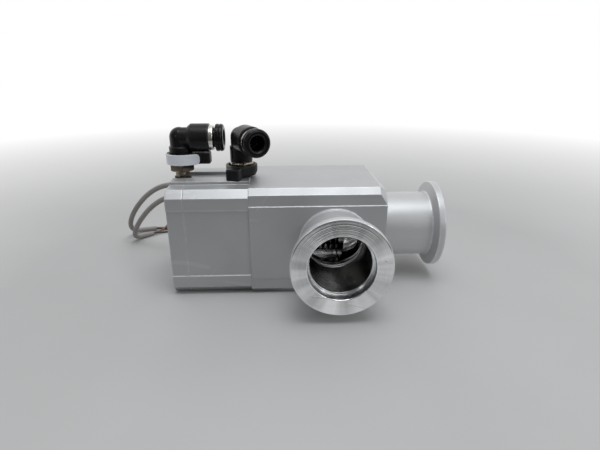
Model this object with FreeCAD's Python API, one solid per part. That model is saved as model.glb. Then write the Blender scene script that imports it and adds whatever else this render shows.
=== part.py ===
import FreeCAD, Part
import math
import os

from FreeCAD import Rotation, Vector

# High vacuum angle valve, millimetres.
# The chamber port looks along +X, the side port along -Y and the air fittings along +Z.
# The origin is the centre of the chamber flange's sealing face.

X_AXIS = Vector(1, 0, 0)
Y_AXIS = Vector(0, 1, 0)
Z_AXIS = Vector(0, 0, 1)

# Reach of both ports, from the crossing of their axes to their sealing faces
axis_to_face = 50.0

# Clearances
running_gap = 0.06
seat_gap = 0.3
thread_gap = 0.05
screw_hole_gap = 0.2
stop_gap = 0.05

# Clamp flanges for a nominal bore of 25
flange_diameter = 40.0
flange_rim = 3.0
flange_cone_angle = 15.0
flange_edge = 0.4
port_bore = 24.6
neck_wall = 2.7
neck_fillet = 1.0
neck_socket_depth = 1.5
centring_step = 0.8
centring_depth = 4.5

# Valve body
body_square = 48.0
body_edge = 3.0
body_end_reach = 22.0
bonnet_joint_reach = 36.5
end_cone_radius = 28.8
panel_half_height = 16.6
panel_step = 0.4
chamber_clearance = 1.5
seat_wall = 3.5
seat_lead = 0.5
bonnet_recess_step = 3.0

# Actuator housing
bonnet_square = 47.0
bonnet_edge = 3.2
cap_thickness = 7.3
side_recess_half_height = 15.0
side_recess_step = 0.5
rail_inner = 5.5
rail_outer = 13.0
rail_height = 1.4
cylinder_bore = 32.0

# Screws that hold cap, cylinder and body together
tie_screw_offset = 18.5
tie_thread = 3.0
tie_engagement = 8.0
tie_hole_runout = 2.0
tie_head_diameter = 5.5
tie_head_height = 3.0
tie_head_sink = 0.3
tie_tip_chamfer = 0.4
tie_socket_flats = 2.5
tie_socket_depth = 1.5

# Rod cover, its bush and its seals
cover_thickness = 5.5
cover_spigot_length = 3.0
cover_lip = 0.7
cover_lip_gap = 0.4
rod_seal_width = 2.4
rod_seal_diameter = 13.0
rod_bush_diameter = 11.0
bellows_flange_thickness = 1.5

# Static seals, squeezed flat in their grooves
seal_groove_depth = 1.1
seal_width = 1.6
cap_seal_inset = 1.6
bonnet_seal_inset = 1.6
bumper_inner_diameter = 18.0
bumper_outer_diameter = 24.0
bumper_height = 2.0
bumper_proud = 0.5

# Moving rod and piston
valve_stroke = 7.0
rod_diameter = 8.0
rod_thread = 6.0
rod_tip_length = 4.0
rod_chamfer = 0.6
piston_length = 10.5
piston_body_gap = 0.3
piston_seal_width = 2.2
piston_seal_depth = 2.2
wear_ring_width = 2.4
wear_ring_depth = 1.2
magnet_width = 2.2
magnet_depth = 2.6
piston_land = 0.8
piston_nut_flats = 10.0
piston_nut_height = 4.0
nut_recess_diameter = 12.6
nut_recess_depth = 4.5

# Valve disc and the ring that seals it
disc_margin = 2.6
disc_thickness = 6.5
disc_edge = 0.6
disc_dish_diameter = 20.0
disc_dish_depth = 0.4
disc_seal_inset = 1.6
disc_seal_section = 2.6
disc_seal_proud = 0.3
disc_seal_wall_angle = 24.0
disc_closed_gap = 0.35

# Bellows
bellows_outer_diameter = 25.0
bellows_inner_diameter = 17.6
bellows_wall = 0.4
bellows_folds = 12
bellows_end_ring = 1.5

# Position switches in the back of the housing
switch_high_z = 14.0
switch_low_z = 8.5
switch_groove_radius = 2.1
switch_groove_mouth = 3.0
switch_gap = 0.1
switch_length = 22.0
switch_proud = 0.3
switch_high_tail = 0.5
switch_low_tail = 5.5
switch_screw_diameter = 2.4
switch_screw_depth = 2.0
switch_screw_inset = 3.2
switch_slot_width = 0.5
switch_slot_depth = 0.6

# Leads of the switches, with two cores bared at each end
lead_diameter = 2.7
core_diameter = 1.0
core_offset = 0.65
core_straight = 1.5
core_run = 4.5
core_tip = 4.0

# Air ports
closing_port_inset = 3.4
opening_port_spare = 0.45
elbow_clearance = 2.25
port_thread = 5.0
port_thread_depth = 5.5
air_drill = 2.5
cap_air_passage_height = 13.5

# Elbow fittings, heights counted from the face they are screwed into
gasket_diameter = 7.4
gasket_height = 1.0
stud_shank_length = 4.0
stud_shoulder_diameter = 6.2
stud_hex_flats = 10.2
stud_hex_bottom = 3.8
stud_hex_top = 7.4
stud_hex_turn = 44.0
stud_neck_diameter = 6.8
stud_top = 13.2
stud_bore = 2.6
stud_ridge_diameter = 7.5
stud_ridge_bottom = 8.8
stud_ridge_height = 0.8
swivel_seal_bottom = 10.6
swivel_seal_width = 1.5
swivel_seal_depth = 0.8
elbow_stem_diameter = 10.0
elbow_stem_top = 14.7
elbow_dome_diameter = 8.8
elbow_dome_rise = 4.75
barrel_height = 18.25
barrel_diameter = 12.4
barrel_start = 4.0
barrel_end = 13.3
barrel_shoulder = 1.2
elbow_passage = 4.0
tube_diameter = 6.0
tube_socket_gap = 0.05
tube_stop = 3.2
tube_seal_start = 6.6
tube_seal_end = 8.9
tube_seal_diameter = 8.8
guide_diameter = 10.9
guide_sleeve_diameter = 10.0
guide_bore = 8.8
guide_end = 15.3
collet_end = 11.3
collet_diameter = 8.6
collet_slots = 6
collet_slot_width = 0.6
collar_bore = 6.3
collar_sleeve_diameter = 8.5
collar_sleeve_start = 12.2
collar_diameter = 12.0
collar_end = 19.7
collar_round = 1.0
collar_mouth = 0.6
release_travel = 0.8
release_spare = 0.1
opening_elbow_heading = -63.7

# Clip rings round the fittings and the band on one of them
clip_wall = 1.2
opening_clip_height = 4.75
clip_lip = 1.6
clip_taper = 1.6
clip_grip_gap = 0.1
clip_skirt_diameter = 11.0
clip_flank_length = 2.0
clip_lug_reach = 13.2
clip_lug_width = 6.0
clip_lug_edge = 0.8
band_thickness = 0.4
band_drop = 0.4
closing_clip_gap = 0.3
closing_clip_seat = 0.1
closing_clip_play = 0.3
closing_lug_drop = 0.5
opening_clip_gap = 0.1
opening_lug_drop = 0.1
opening_clip_heading = -104.0

# Diameters that follow from the bore of the ports
neck_diameter = port_bore + 2 * neck_wall
centring_bore = port_bore + 2 * centring_step
disc_seal_diameter = port_bore + 2 * disc_seal_inset
disc_diameter = disc_seal_diameter + 2 * disc_margin
chamber_diameter = disc_diameter + 2 * chamber_clearance
bonnet_recess_diameter = chamber_diameter + 2 * bonnet_recess_step
bonnet_seal_diameter = chamber_diameter + 2 * bonnet_seal_inset
cap_seal_diameter = cylinder_bore + 2 * cap_seal_inset

# Places of the clip rings, which follow from the hexagon, the barrel and the rails
clip_diameter = 2 * (stud_hex_flats / math.sqrt(3) + clip_wall)
closing_clip_offset = clip_wall - closing_clip_play
opening_clip_bottom = rail_height + opening_clip_gap + opening_lug_drop
elbow_top = barrel_height + elbow_dome_rise
closing_clip_top = barrel_height - barrel_diameter / 2 - closing_clip_gap
closing_clip_bottom = stud_hex_top + closing_clip_seat

# Length of the housing: the closing fitting's barrel ends just before the opening fitting
opening_port_inset = gasket_diameter / 2 + opening_port_spare
port_pitch = collar_end + elbow_stem_diameter / 2 + elbow_clearance
housing_length = closing_port_inset + port_pitch + opening_port_inset

# Stations along the main axis and heights that follow from the sizes above
port_axis_x = -axis_to_face
body_end_x = port_axis_x + body_end_reach
seat_x = body_end_x - seat_wall
joint_x = port_axis_x - bonnet_joint_reach
back_x = joint_x - housing_length
cap_joint_x = back_x + cap_thickness
cover_inner_x = joint_x + cover_thickness
chamber_start_x = cover_inner_x + bellows_flange_thickness
spigot_end_x = joint_x - cover_spigot_length
disc_face_x = seat_x - disc_closed_gap - valve_stroke
disc_back_x = disc_face_x - disc_thickness
piston_left_x = cap_joint_x + bumper_proud + stop_gap
piston_right_x = piston_left_x + piston_length
closing_port_x = back_x + closing_port_inset
opening_port_x = joint_x - opening_port_inset
bonnet_top_z = bonnet_square / 2
groove_axis_y = bonnet_square / 2 - switch_groove_radius
floor_z = -body_square / 2
lead_rest_z = floor_z + lead_diameter / 2
core_rest_z = floor_z + core_diameter / 2

# Routes of the leads: out of the switch, back and down behind the housing, then along the floor
high_lead_route = [
    (back_x + switch_high_tail, groove_axis_y, switch_high_z),
    (-127.5, 21.7, 14.9),
    (-135.6, 23.9, 13.1),
    (-143.8, 27.8, 7.8),
    (-151.4, 33.0, 0.0),
    (-157.4, 38.6, -8.2),
    (-161.2, 44.8, -16.0),
    (-161.2, 51.0, -21.2),
    (-157.4, 56.6, lead_rest_z),
    (-150.4, 58.2, lead_rest_z),
]
low_lead_route = [
    (back_x + switch_low_tail, groove_axis_y, switch_low_z),
    (-124.4, 21.6, 8.7),
    (-133.6, 22.5, 7.3),
    (-142.0, 25.7, 1.5),
    (-149.3, 30.2, -6.4),
    (-154.8, 34.8, -14.2),
    (-157.5, 39.2, -20.4),
    (-155.6, 44.6, lead_rest_z),
    (-150.2, 50.0, lead_rest_z),
]


def outline_face(items):
    """A flat face in the local XZ plane.

    An item of two numbers is a corner. An item of four is an arc through its first pair to its second.
    """
    start = Vector(items[0][0], 0, items[0][1])
    here = start
    edges = []
    for item in list(items[1:]) + [items[0]]:
        end = Vector(item[-2], 0, item[-1])
        if len(item) == 4:
            middle = Vector(item[0], 0, item[1])
            edges.append(Part.Arc(here, middle, end).toShape())
        elif here.distanceToPoint(end) > 1e-7:
            edges.append(Part.LineSegment(here, end).toShape())
        here = end
    return Part.Face(Part.Wire(edges))


def placed(shape, origin, direction, turn=0.0):
    """The shape with its local Z laid along a direction, at an origin."""
    result = shape.copy()
    lay = Rotation(Z_AXIS, direction) * Rotation(Z_AXIS, turn)
    result.Placement = FreeCAD.Placement(origin, lay)
    return result


def turned(items, origin=Vector(0, 0, 0), direction=X_AXIS):
    """A lathe-turned solid: its outline holds radius and station along the axis."""
    solid = outline_face(items).revolve(Vector(0, 0, 0), Z_AXIS, 360)
    return placed(solid, origin, direction)


def rod_shape(radius, start, end, origin=Vector(0, 0, 0), direction=X_AXIS):
    """A plain cylinder between two stations along an axis."""
    return placed(Part.makeCylinder(radius, end - start, Vector(0, 0, start)), origin, direction)


def ring_shape(inner, outer, start, end, origin=Vector(0, 0, 0), direction=X_AXIS):
    """A plain ring between two stations along an axis."""
    corners = [(inner, start), (outer, start), (outer, end), (inner, end)]
    return turned(corners, origin, direction)


def hexagon(flats, start, end, origin=Vector(0, 0, 0), direction=X_AXIS, turn=0.0):
    """A hexagonal prism of a given width across its flats."""
    corner = flats / math.sqrt(3)
    angles = [math.radians(60 * i) for i in range(7)]
    points = [Vector(corner * math.cos(a), corner * math.sin(a), start) for a in angles]
    prism = Part.Face(Part.makePolygon(points)).extrude(Vector(0, 0, end - start))
    return placed(prism, origin, direction, turn)


def squeezed_ring(inner, outer, start, end):
    """A rubber ring squeezed in its groove: flat where it presses, round on its free sides."""
    width = outer - inner
    height = end - start
    if width > height:
        bulge = height / 2
        middle = (start + end) / 2
        items = [
            (inner + bulge, start),
            (outer - bulge, start),
            (outer, middle, outer - bulge, end),
            (inner + bulge, end),
            (inner, middle, inner + bulge, start),
        ]
    else:
        bulge = width / 2
        middle = (inner + outer) / 2
        items = [
            (outer, start + bulge),
            (outer, end - bulge),
            (middle, end, inner, end - bulge),
            (inner, start + bulge),
            (middle, start, outer, start + bulge),
        ]
    return turned(items)


def screw_places():
    """The four corners, as Y and Z, where the long screws run."""
    return [(y * tie_screw_offset, z * tie_screw_offset) for y in (-1, 1) for z in (-1, 1)]


def along_x(points, start, end):
    """A prism along X from its Y and Z corners."""
    wire = Part.makePolygon([Vector(start, y, z) for y, z in points + points[:1]])
    return Part.Face(wire).extrude(Vector(end - start, 0, 0))


def flange_stub(face_reach, origin, direction):
    """A clamp flange on its neck; stations are counted from the crossing of the port axes."""
    tip = axis_to_face
    rim_r = flange_diameter / 2
    neck_r = neck_diameter / 2
    bore_r = port_bore / 2
    centring_r = centring_bore / 2
    cone = (rim_r - neck_r) * math.tan(math.radians(flange_cone_angle))
    bend = neck_fillet * (1 - math.sqrt(0.5))
    return turned([
        (bore_r, face_reach - neck_socket_depth),
        (neck_r, face_reach - neck_socket_depth),
        (neck_r, face_reach),
        (neck_r + neck_fillet, face_reach),
        (neck_r + bend, face_reach + bend, neck_r, face_reach + neck_fillet),
        (neck_r, tip - flange_rim - cone),
        (rim_r, tip - flange_rim),
        (rim_r, tip - flange_edge),
        (rim_r - flange_edge, tip),
        (centring_r + flange_edge, tip),
        (centring_r, tip - flange_edge),
        (centring_r, tip - centring_depth),
        (bore_r, tip - centring_depth),
    ], origin, direction)


def body_outline():
    """Section of the valve body: a square with flat corners and a raised panel on its front."""
    half = body_square / 2
    low = half - panel_step
    cut = 2 * half - body_edge
    return [
        (-half, -panel_half_height), (-half, panel_half_height),
        (-low, panel_half_height), (-low, cut - low),
        (half - cut, half), (cut - half, half),
        (half, cut - half), (half, half - cut),
        (cut - half, -half), (half - cut, -half),
        (-low, low - cut), (-low, -panel_half_height),
    ]


def valve_body():
    """The square block with its chamber, its two port holes and its turned end."""
    crossing = Vector(port_axis_x, 0, 0)
    reach = body_square
    block = along_x(body_outline(), joint_x, body_end_x)
    end_cone = turned([
        (0, joint_x - 1),
        (end_cone_radius + body_end_x - joint_x + 1, joint_x - 1),
        (end_cone_radius, body_end_x),
        (0, body_end_x),
    ])
    block = block.common(end_cone)
    bore_r = port_bore / 2
    recess_r = bonnet_recess_diameter / 2
    chamber_r = chamber_diameter / 2
    seal_r = bonnet_seal_diameter / 2
    hollow = turned([
        (0, joint_x - 1), (recess_r, joint_x - 1), (recess_r, chamber_start_x),
        (seal_r + seal_width / 2, chamber_start_x),
        (seal_r + seal_width / 2, chamber_start_x + seal_groove_depth),
        (seal_r - seal_width / 2, chamber_start_x + seal_groove_depth),
        (seal_r - seal_width / 2, chamber_start_x),
        (chamber_r, chamber_start_x), (chamber_r, seat_x),
        (bore_r + seat_lead, seat_x), (bore_r, seat_x + seat_lead),
        (bore_r, body_end_x - neck_socket_depth),
        (neck_diameter / 2, body_end_x - neck_socket_depth),
        (neck_diameter / 2, body_end_x + 1), (0, body_end_x + 1),
    ])
    face = body_square / 2
    side_hole = turned([
        (0, 0), (bore_r, 0), (bore_r, face - neck_socket_depth),
        (neck_diameter / 2, face - neck_socket_depth),
        (neck_diameter / 2, reach), (0, reach),
    ], crossing, -Y_AXIS)
    block = block.cut(hollow).cut(side_hole)
    tie_r = tie_thread / 2 + thread_gap
    for y, z in screw_places():
        hole_end = joint_x + tie_engagement + tie_hole_runout
        block = block.cut(rod_shape(tie_r, joint_x - 1, hole_end, Vector(0, y, z)))
    return block


def bonnet_outline():
    """Section shared by cap and cylinder: recessed front, two rails on top, flat bottom."""
    half = bonnet_square / 2
    cut = 2 * half - bonnet_edge
    deep = half - side_recess_step
    rail_z = half + rail_height
    return [
        (-half, half - cut), (-half, -side_recess_half_height),
        (-deep, -side_recess_half_height), (-deep, side_recess_half_height),
        (-half, side_recess_half_height), (-half, cut - half),
        (half - cut, half),
        (-rail_outer, half), (-rail_outer, rail_z), (-rail_inner, rail_z), (-rail_inner, half),
        (rail_inner, half), (rail_inner, rail_z), (rail_outer, rail_z), (rail_outer, half),
        (cut - half, half), (half, cut - half), (half, half - cut),
        (cut - half, -half), (half - cut, -half),
    ]


def bonnet_block(start, end):
    """A length of the housing section, with the two switch grooves in its back."""
    block = along_x(bonnet_outline(), start, end)
    mouth = switch_groove_mouth
    for z in (switch_high_z, switch_low_z):
        axis = Vector(0, groove_axis_y, z)
        round_part = rod_shape(switch_groove_radius, start - 1, end + 1, axis)
        corner = Vector(start - 1, groove_axis_y, z - mouth / 2)
        slot = Part.makeBox(end - start + 2, bonnet_square / 2, mouth, corner)
        block = block.cut(round_part).cut(slot)
    return block


def threaded_port(x):
    """The tapped air hole in the top of the housing, as the solid that is taken away."""
    top = Vector(x, 0, bonnet_top_z)
    return rod_shape(port_thread / 2, -port_thread_depth, 1, top, Z_AXIS)


def end_cap():
    """The flat cover at the far end, with sunk screw heads and the closing air port."""
    cap = bonnet_block(back_x, cap_joint_x)
    head_floor = back_x + tie_head_sink + tie_head_height
    for y, z in screw_places():
        axis = Vector(0, y, z)
        cap = cap.cut(rod_shape(tie_thread / 2 + screw_hole_gap, back_x - 1, cap_joint_x + 1, axis))
        cap = cap.cut(rod_shape(tie_head_diameter / 2 + screw_hole_gap, back_x - 1, head_floor, axis))
    drill_r = air_drill / 2
    top = Vector(closing_port_x, 0, 0)
    cap = cap.cut(threaded_port(closing_port_x))
    cap = cap.cut(rod_shape(drill_r, cap_air_passage_height - drill_r, bonnet_top_z, top, Z_AXIS))
    passage = Vector(0, 0, cap_air_passage_height)
    cap = cap.cut(rod_shape(drill_r, closing_port_x, cap_joint_x + 1, passage))
    seal_r = cap_seal_diameter / 2
    groove_floor = cap_joint_x - seal_groove_depth
    inner, outer = seal_r - seal_width / 2, seal_r + seal_width / 2
    cap = cap.cut(ring_shape(inner, outer, groove_floor, cap_joint_x + 1))
    bumper_floor = cap_joint_x + bumper_proud - bumper_height
    inner, outer = bumper_inner_diameter / 2, bumper_outer_diameter / 2
    return cap.cut(ring_shape(inner, outer, bumper_floor, cap_joint_x + 1))


def cylinder_tube():
    """The middle housing that the piston runs in, with the opening air port."""
    tube = bonnet_block(cap_joint_x, joint_x)
    tube = tube.cut(rod_shape(cylinder_bore / 2, cap_joint_x - 1, joint_x + 1))
    for y, z in screw_places():
        hole = rod_shape(tie_thread / 2 + screw_hole_gap, cap_joint_x - 1, joint_x + 1, Vector(0, y, z))
        tube = tube.cut(hole)
    top = Vector(opening_port_x, 0, 0)
    tube = tube.cut(threaded_port(opening_port_x))
    return tube.cut(rod_shape(air_drill / 2, 0, bonnet_top_z, top, Z_AXIS))


def tie_screws():
    """Four long socket head screws, from the end cap into the valve body."""
    head_start = back_x + tie_head_sink
    head_end = head_start + tie_head_height
    tip = joint_x + tie_engagement
    screws = []
    for y, z in screw_places():
        axis = Vector(0, y, z)
        shank_r = tie_thread / 2
        screw = turned([
            (0, head_start), (tie_head_diameter / 2 - thread_gap, head_start),
            (tie_head_diameter / 2, head_start + thread_gap * 4), (tie_head_diameter / 2, head_end),
            (shank_r, head_end), (shank_r, tip - tie_tip_chamfer),
            (shank_r - tie_tip_chamfer, tip), (0, tip),
        ], axis)
        socket = hexagon(tie_socket_flats, head_start - 1, head_start + tie_socket_depth, axis)
        screws.append(screw.cut(socket))
    return Part.Compound(screws)


def rod_cover():
    """The disc between cylinder and chamber that guides the rod."""
    spigot_r = cylinder_bore / 2 - thread_gap
    flange_r = bonnet_recess_diameter / 2 - thread_gap
    seal_start = spigot_end_x + cover_lip
    seal_end = seal_start + rod_seal_width
    groove_start = spigot_end_x + cover_lip
    return turned([
        (rod_diameter / 2 + cover_lip_gap, spigot_end_x), (spigot_r, spigot_end_x),
        (spigot_r, groove_start), (spigot_r - seal_groove_depth, groove_start),
        (spigot_r - seal_groove_depth, groove_start + seal_width), (spigot_r, groove_start + seal_width),
        (spigot_r, joint_x), (flange_r, joint_x), (flange_r, cover_inner_x),
        (rod_bush_diameter / 2, cover_inner_x), (rod_bush_diameter / 2, seal_end),
        (rod_seal_diameter / 2, seal_end), (rod_seal_diameter / 2, seal_start),
        (rod_diameter / 2 + cover_lip_gap, seal_start),
    ])


def rod_bush():
    """The plain bearing that the rod slides in."""
    start = spigot_end_x + cover_lip + rod_seal_width
    return ring_shape(rod_diameter / 2 + running_gap, rod_bush_diameter / 2, start, cover_inner_x)


def rod_seal():
    """The lip seal round the rod, with its open side to the cylinder."""
    inner = rod_diameter / 2 + running_gap
    outer = rod_seal_diameter / 2
    start = spigot_end_x + cover_lip
    end = start + rod_seal_width
    third = (outer - inner) / 3
    return turned([
        (inner, start), (inner + third, start), (inner + third, start + rod_seal_width / 2),
        (outer - third, start + rod_seal_width / 2), (outer - third, start), (outer, start),
        (outer, end), (inner, end),
    ])


def rod_cover_seal():
    """The ring between rod cover and cylinder."""
    bottom = cylinder_bore / 2 - thread_gap - seal_groove_depth
    start = spigot_end_x + cover_lip
    return squeezed_ring(bottom, cylinder_bore / 2, start, start + seal_width)


def cap_seal():
    """The ring between end cap and cylinder."""
    radius = cap_seal_diameter / 2
    start = cap_joint_x - seal_groove_depth
    return squeezed_ring(radius - seal_width / 2, radius + seal_width / 2, start, cap_joint_x)


def bonnet_seal():
    """The vacuum seal between the bellows flange and the body."""
    radius = bonnet_seal_diameter / 2
    end = chamber_start_x + seal_groove_depth
    return squeezed_ring(radius - seal_width / 2, radius + seal_width / 2, chamber_start_x, end)


def piston_bumper():
    """The soft ring in the end cap that the piston lands on when the valve opens."""
    start = cap_joint_x + bumper_proud - bumper_height
    return ring_shape(bumper_inner_diameter / 2, bumper_outer_diameter / 2, start, start + bumper_height)


def bellows_flange():
    """The thin steel disc that carries the fixed end of the bellows."""
    outer = bonnet_recess_diameter / 2 - thread_gap
    inner = bellows_inner_diameter / 2
    weld_r = bellows_outer_diameter / 2
    return turned([
        (inner, cover_inner_x), (outer, cover_inner_x), (outer, chamber_start_x),
        (weld_r, chamber_start_x), (weld_r, chamber_start_x + bellows_end_ring),
        (inner, chamber_start_x + bellows_end_ring),
    ])


def bellows():
    """The folded steel sleeve: a zigzag wall of even thickness turned about the axis."""
    start = chamber_start_x + bellows_end_ring
    end = disc_back_x - bellows_end_ring
    pitch = (end - start) / bellows_folds
    low = bellows_inner_diameter / 2
    high = bellows_outer_diameter / 2 - bellows_wall
    skin = []
    for fold in range(bellows_folds):
        skin.append((low, start + pitch * fold))
        skin.append((high, start + pitch * (fold + 0.5)))
    skin.append((low, end))
    outside = [(radius + bellows_wall, station) for radius, station in reversed(skin)]
    return turned(skin + outside)


def bellows_hub():
    """The ring that joins the moving end of the bellows to the valve disc."""
    inner = rod_diameter / 2 + thread_gap
    return ring_shape(inner, bellows_outer_diameter / 2, disc_back_x - bellows_end_ring, disc_back_x)


def valve_disc():
    """The closing disc, with an undercut groove that holds its sealing ring."""
    outer = disc_diameter / 2
    ring_r = disc_seal_section / 2
    middle = disc_seal_diameter / 2
    depth = disc_seal_section - disc_seal_proud
    lean = math.radians(disc_seal_wall_angle)
    centre_depth = ring_r - disc_seal_proud
    mouth = (ring_r + thread_gap) / math.cos(lean) - centre_depth * math.tan(lean)
    root = mouth + depth * math.tan(lean)
    dish_r = disc_dish_diameter / 2
    tip_r = rod_thread / 2 + thread_gap
    tip_end = disc_back_x + rod_tip_length + rod_chamfer
    return turned([
        (tip_r, disc_back_x), (outer - disc_edge, disc_back_x), (outer, disc_back_x + disc_edge),
        (outer, disc_face_x - disc_edge / 2), (outer - disc_edge / 2, disc_face_x),
        (middle + mouth, disc_face_x), (middle + root, disc_face_x - depth),
        (middle - root, disc_face_x - depth), (middle - mouth, disc_face_x),
        (dish_r, disc_face_x), (dish_r, disc_face_x - disc_dish_depth), (0, disc_face_x - disc_dish_depth),
        (0, tip_end), (tip_r, tip_end),
    ])


def disc_seal():
    """The round sealing ring in the disc's face."""
    ring_r = disc_seal_section / 2
    centre = disc_face_x + disc_seal_proud - ring_r
    torus = Part.makeTorus(disc_seal_diameter / 2, ring_r)
    return placed(torus, Vector(centre, 0, 0), X_AXIS)


def rod():
    """The rod from the piston to the disc, stepped down at both ends."""
    rod_r = rod_diameter / 2
    tip_r = rod_thread / 2
    nut_end = piston_left_x + nut_recess_depth - piston_nut_height
    return turned([
        (0, nut_end), (tip_r - rod_chamfer, nut_end), (tip_r, nut_end + rod_chamfer),
        (tip_r, piston_right_x), (rod_r - rod_chamfer / 2, piston_right_x),
        (rod_r, piston_right_x + rod_chamfer / 2), (rod_r, disc_back_x), (tip_r, disc_back_x),
        (tip_r, disc_back_x + rod_tip_length - rod_chamfer),
        (tip_r - rod_chamfer, disc_back_x + rod_tip_length), (0, disc_back_x + rod_tip_length),
    ])


def piston_groove_starts():
    """Stations of the three grooves, left to right: wear ring, magnet and seal."""
    wear = piston_left_x + piston_land
    magnet = wear + wear_ring_width + piston_land
    seal = magnet + magnet_width + piston_land
    return wear, magnet, seal


def piston():
    """The grooved piston with a sunk seat for its nut."""
    outer = cylinder_bore / 2 - piston_body_gap
    bore = rod_thread / 2 + thread_gap
    nut_r = nut_recess_diameter / 2
    nut_floor = piston_left_x + nut_recess_depth
    wear, magnet, seal = piston_groove_starts()
    grooves = [
        (wear, wear_ring_width, wear_ring_depth),
        (magnet, magnet_width, magnet_depth),
        (seal, piston_seal_width, piston_seal_depth),
    ]
    items = [(bore, nut_floor), (nut_r, nut_floor), (nut_r, piston_left_x), (outer, piston_left_x)]
    for start, width, depth in grooves:
        end = start + width
        items += [(outer, start), (outer - depth, start), (outer - depth, end), (outer, end)]
    items += [(outer, piston_right_x), (bore, piston_right_x)]
    return turned(items)


def wear_ring():
    """The slim guide band of the piston."""
    start = piston_groove_starts()[0]
    inner = cylinder_bore / 2 - piston_body_gap - wear_ring_depth
    return ring_shape(inner, cylinder_bore / 2 - running_gap, start, start + wear_ring_width)


def magnet_ring():
    """The magnet that the position switches feel."""
    start = piston_groove_starts()[1]
    outer = cylinder_bore / 2 - piston_body_gap
    return ring_shape(outer - magnet_depth, outer, start, start + magnet_width)


def piston_seal():
    """The rubber ring that seals the piston, domed where it meets the bore."""
    start = piston_groove_starts()[2]
    end = start + piston_seal_width
    inner = cylinder_bore / 2 - piston_body_gap - piston_seal_depth
    outer = cylinder_bore / 2 - running_gap
    shoulder = cylinder_bore / 2 - piston_body_gap * 2
    return turned([
        (inner, start), (shoulder, start), (outer, (start + end) / 2, shoulder, end), (inner, end),
    ])


def piston_nut():
    """The nut that holds the piston on the rod."""
    end = piston_left_x + nut_recess_depth
    start = end - piston_nut_height
    bore = rod_shape(rod_thread / 2 + thread_gap, start - 1, end + 1)
    return hexagon(piston_nut_flats, start, end).cut(bore)


def switch_body(z, tail):
    """A slim position switch that fills its groove, its lead end towards the cap."""
    start = back_x + tail
    end = start + switch_length
    axis = Vector(0, groove_axis_y, z)
    mouth = switch_groove_mouth - 2 * switch_gap
    body = rod_shape(switch_groove_radius - switch_gap, start, end, axis)
    corner = Vector(start, groove_axis_y, z - mouth / 2)
    neck_height = bonnet_square / 2 + switch_proud - groove_axis_y
    body = body.fuse(Part.makeBox(switch_length, neck_height, mouth, corner)).removeSplitter()
    screw_x = end - switch_screw_inset
    seat_y = bonnet_square / 2 + switch_proud - switch_screw_depth
    seat = rod_shape(switch_screw_diameter / 2, seat_y, bonnet_square, Vector(screw_x, 0, z), Y_AXIS)
    return body.cut(seat)


def switch_screws():
    """The two slotted screws that clamp the switches in their grooves."""
    screws = []
    seat_y = bonnet_square / 2 + switch_proud - switch_screw_depth
    top_y = bonnet_square / 2 + switch_proud
    for z, tail in ((switch_high_z, switch_high_tail), (switch_low_z, switch_low_tail)):
        x = back_x + tail + switch_length - switch_screw_inset
        screw = rod_shape(switch_screw_diameter / 2 - thread_gap, seat_y, top_y, Vector(x, 0, z), Y_AXIS)
        corner = Vector(x - switch_screw_diameter, top_y - switch_slot_depth, z - switch_slot_width / 2)
        slot = Part.makeBox(2 * switch_screw_diameter, switch_slot_depth + 1, switch_slot_width, corner)
        screws.append(screw.cut(slot))
    return Part.Compound(screws)


def rounded_route(points):
    """Straight runs joined by tangent arcs, each as large as its two runs allow, with the radii."""
    corners = [Vector(*point) for point in points]
    here = corners[0]
    edges = []
    radii = []
    for before, corner, after in zip(corners, corners[1:], corners[2:]):
        back = (before - corner).normalize()
        ahead = (after - corner).normalize()
        half_turn = (math.pi - back.getAngle(ahead)) / 2
        trim = 0.45 * min(before.distanceToPoint(corner), after.distanceToPoint(corner))
        radius = trim / math.tan(half_turn)
        first = corner + back * trim
        last = corner + ahead * trim
        inward = (back + ahead).normalize()
        middle = corner + inward * (radius / math.cos(half_turn) - radius)
        edges.append(Part.LineSegment(here, first).toShape())
        edges.append(Part.Arc(first, middle, last).toShape())
        radii.append(radius)
        here = last
    edges.append(Part.LineSegment(here, corners[-1]).toShape())
    return Part.Wire(edges), radii


def tube_along(points, diameter, name):
    """A round solid along a rounded route, with its radii and volume printed for comparison."""
    wire, radii = rounded_route(points)
    start = Vector(*points[0])
    heading = Vector(*points[1]) - start
    section = Part.Wire(Part.makeCircle(diameter / 2, start, heading))
    tube = wire.makePipeShell([section], True, False)
    ideal = math.pi * diameter ** 2 / 4 * wire.Length
    print(name, "length %.1f" % wire.Length, "volume ratio %.4f" % (tube.Volume / ideal))
    print(name, "radii", " ".join("%.1f" % radius for radius in radii))
    return tube


def core_route(route, side, spread, lift):
    """A bared core leaving a lead's end and bending gently away from its neighbour."""
    end = Vector(*route[-1])
    heading = (end - Vector(*route[-2])).normalize()
    across = Vector(-heading.y, heading.x, 0)
    drop = Vector(0, 0, core_rest_z - lead_rest_z)
    first = end + across * (side * core_offset)
    straight = first + heading * core_straight
    second = straight + heading * (core_run - core_straight) + drop * 0.6 + across * (side * 0.3)
    third = second + heading * core_run + drop * 0.4 + across * (side * spread) + Vector(0, 0, lift * 0.4)
    last = third + heading * core_tip + across * (side * spread * 1.6) + Vector(0, 0, lift)
    return [tuple(point) for point in (first, straight, second, third, last)]


def lead_cores():
    """The four thin bared cores, two at the end of each lead."""
    routes = [
        core_route(high_lead_route, 1, 1.2, 0.0),
        core_route(high_lead_route, -1, 1.6, 0.0),
        core_route(low_lead_route, 1, 1.0, 2.0),
        core_route(low_lead_route, -1, 2.0, 0.0),
    ]
    return Part.Compound([tube_along(route, core_diameter, "core") for route in routes])


def fitting_place(x):
    """The point on the housing's top where a fitting is screwed in."""
    return Vector(x, 0, bonnet_top_z)


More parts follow.
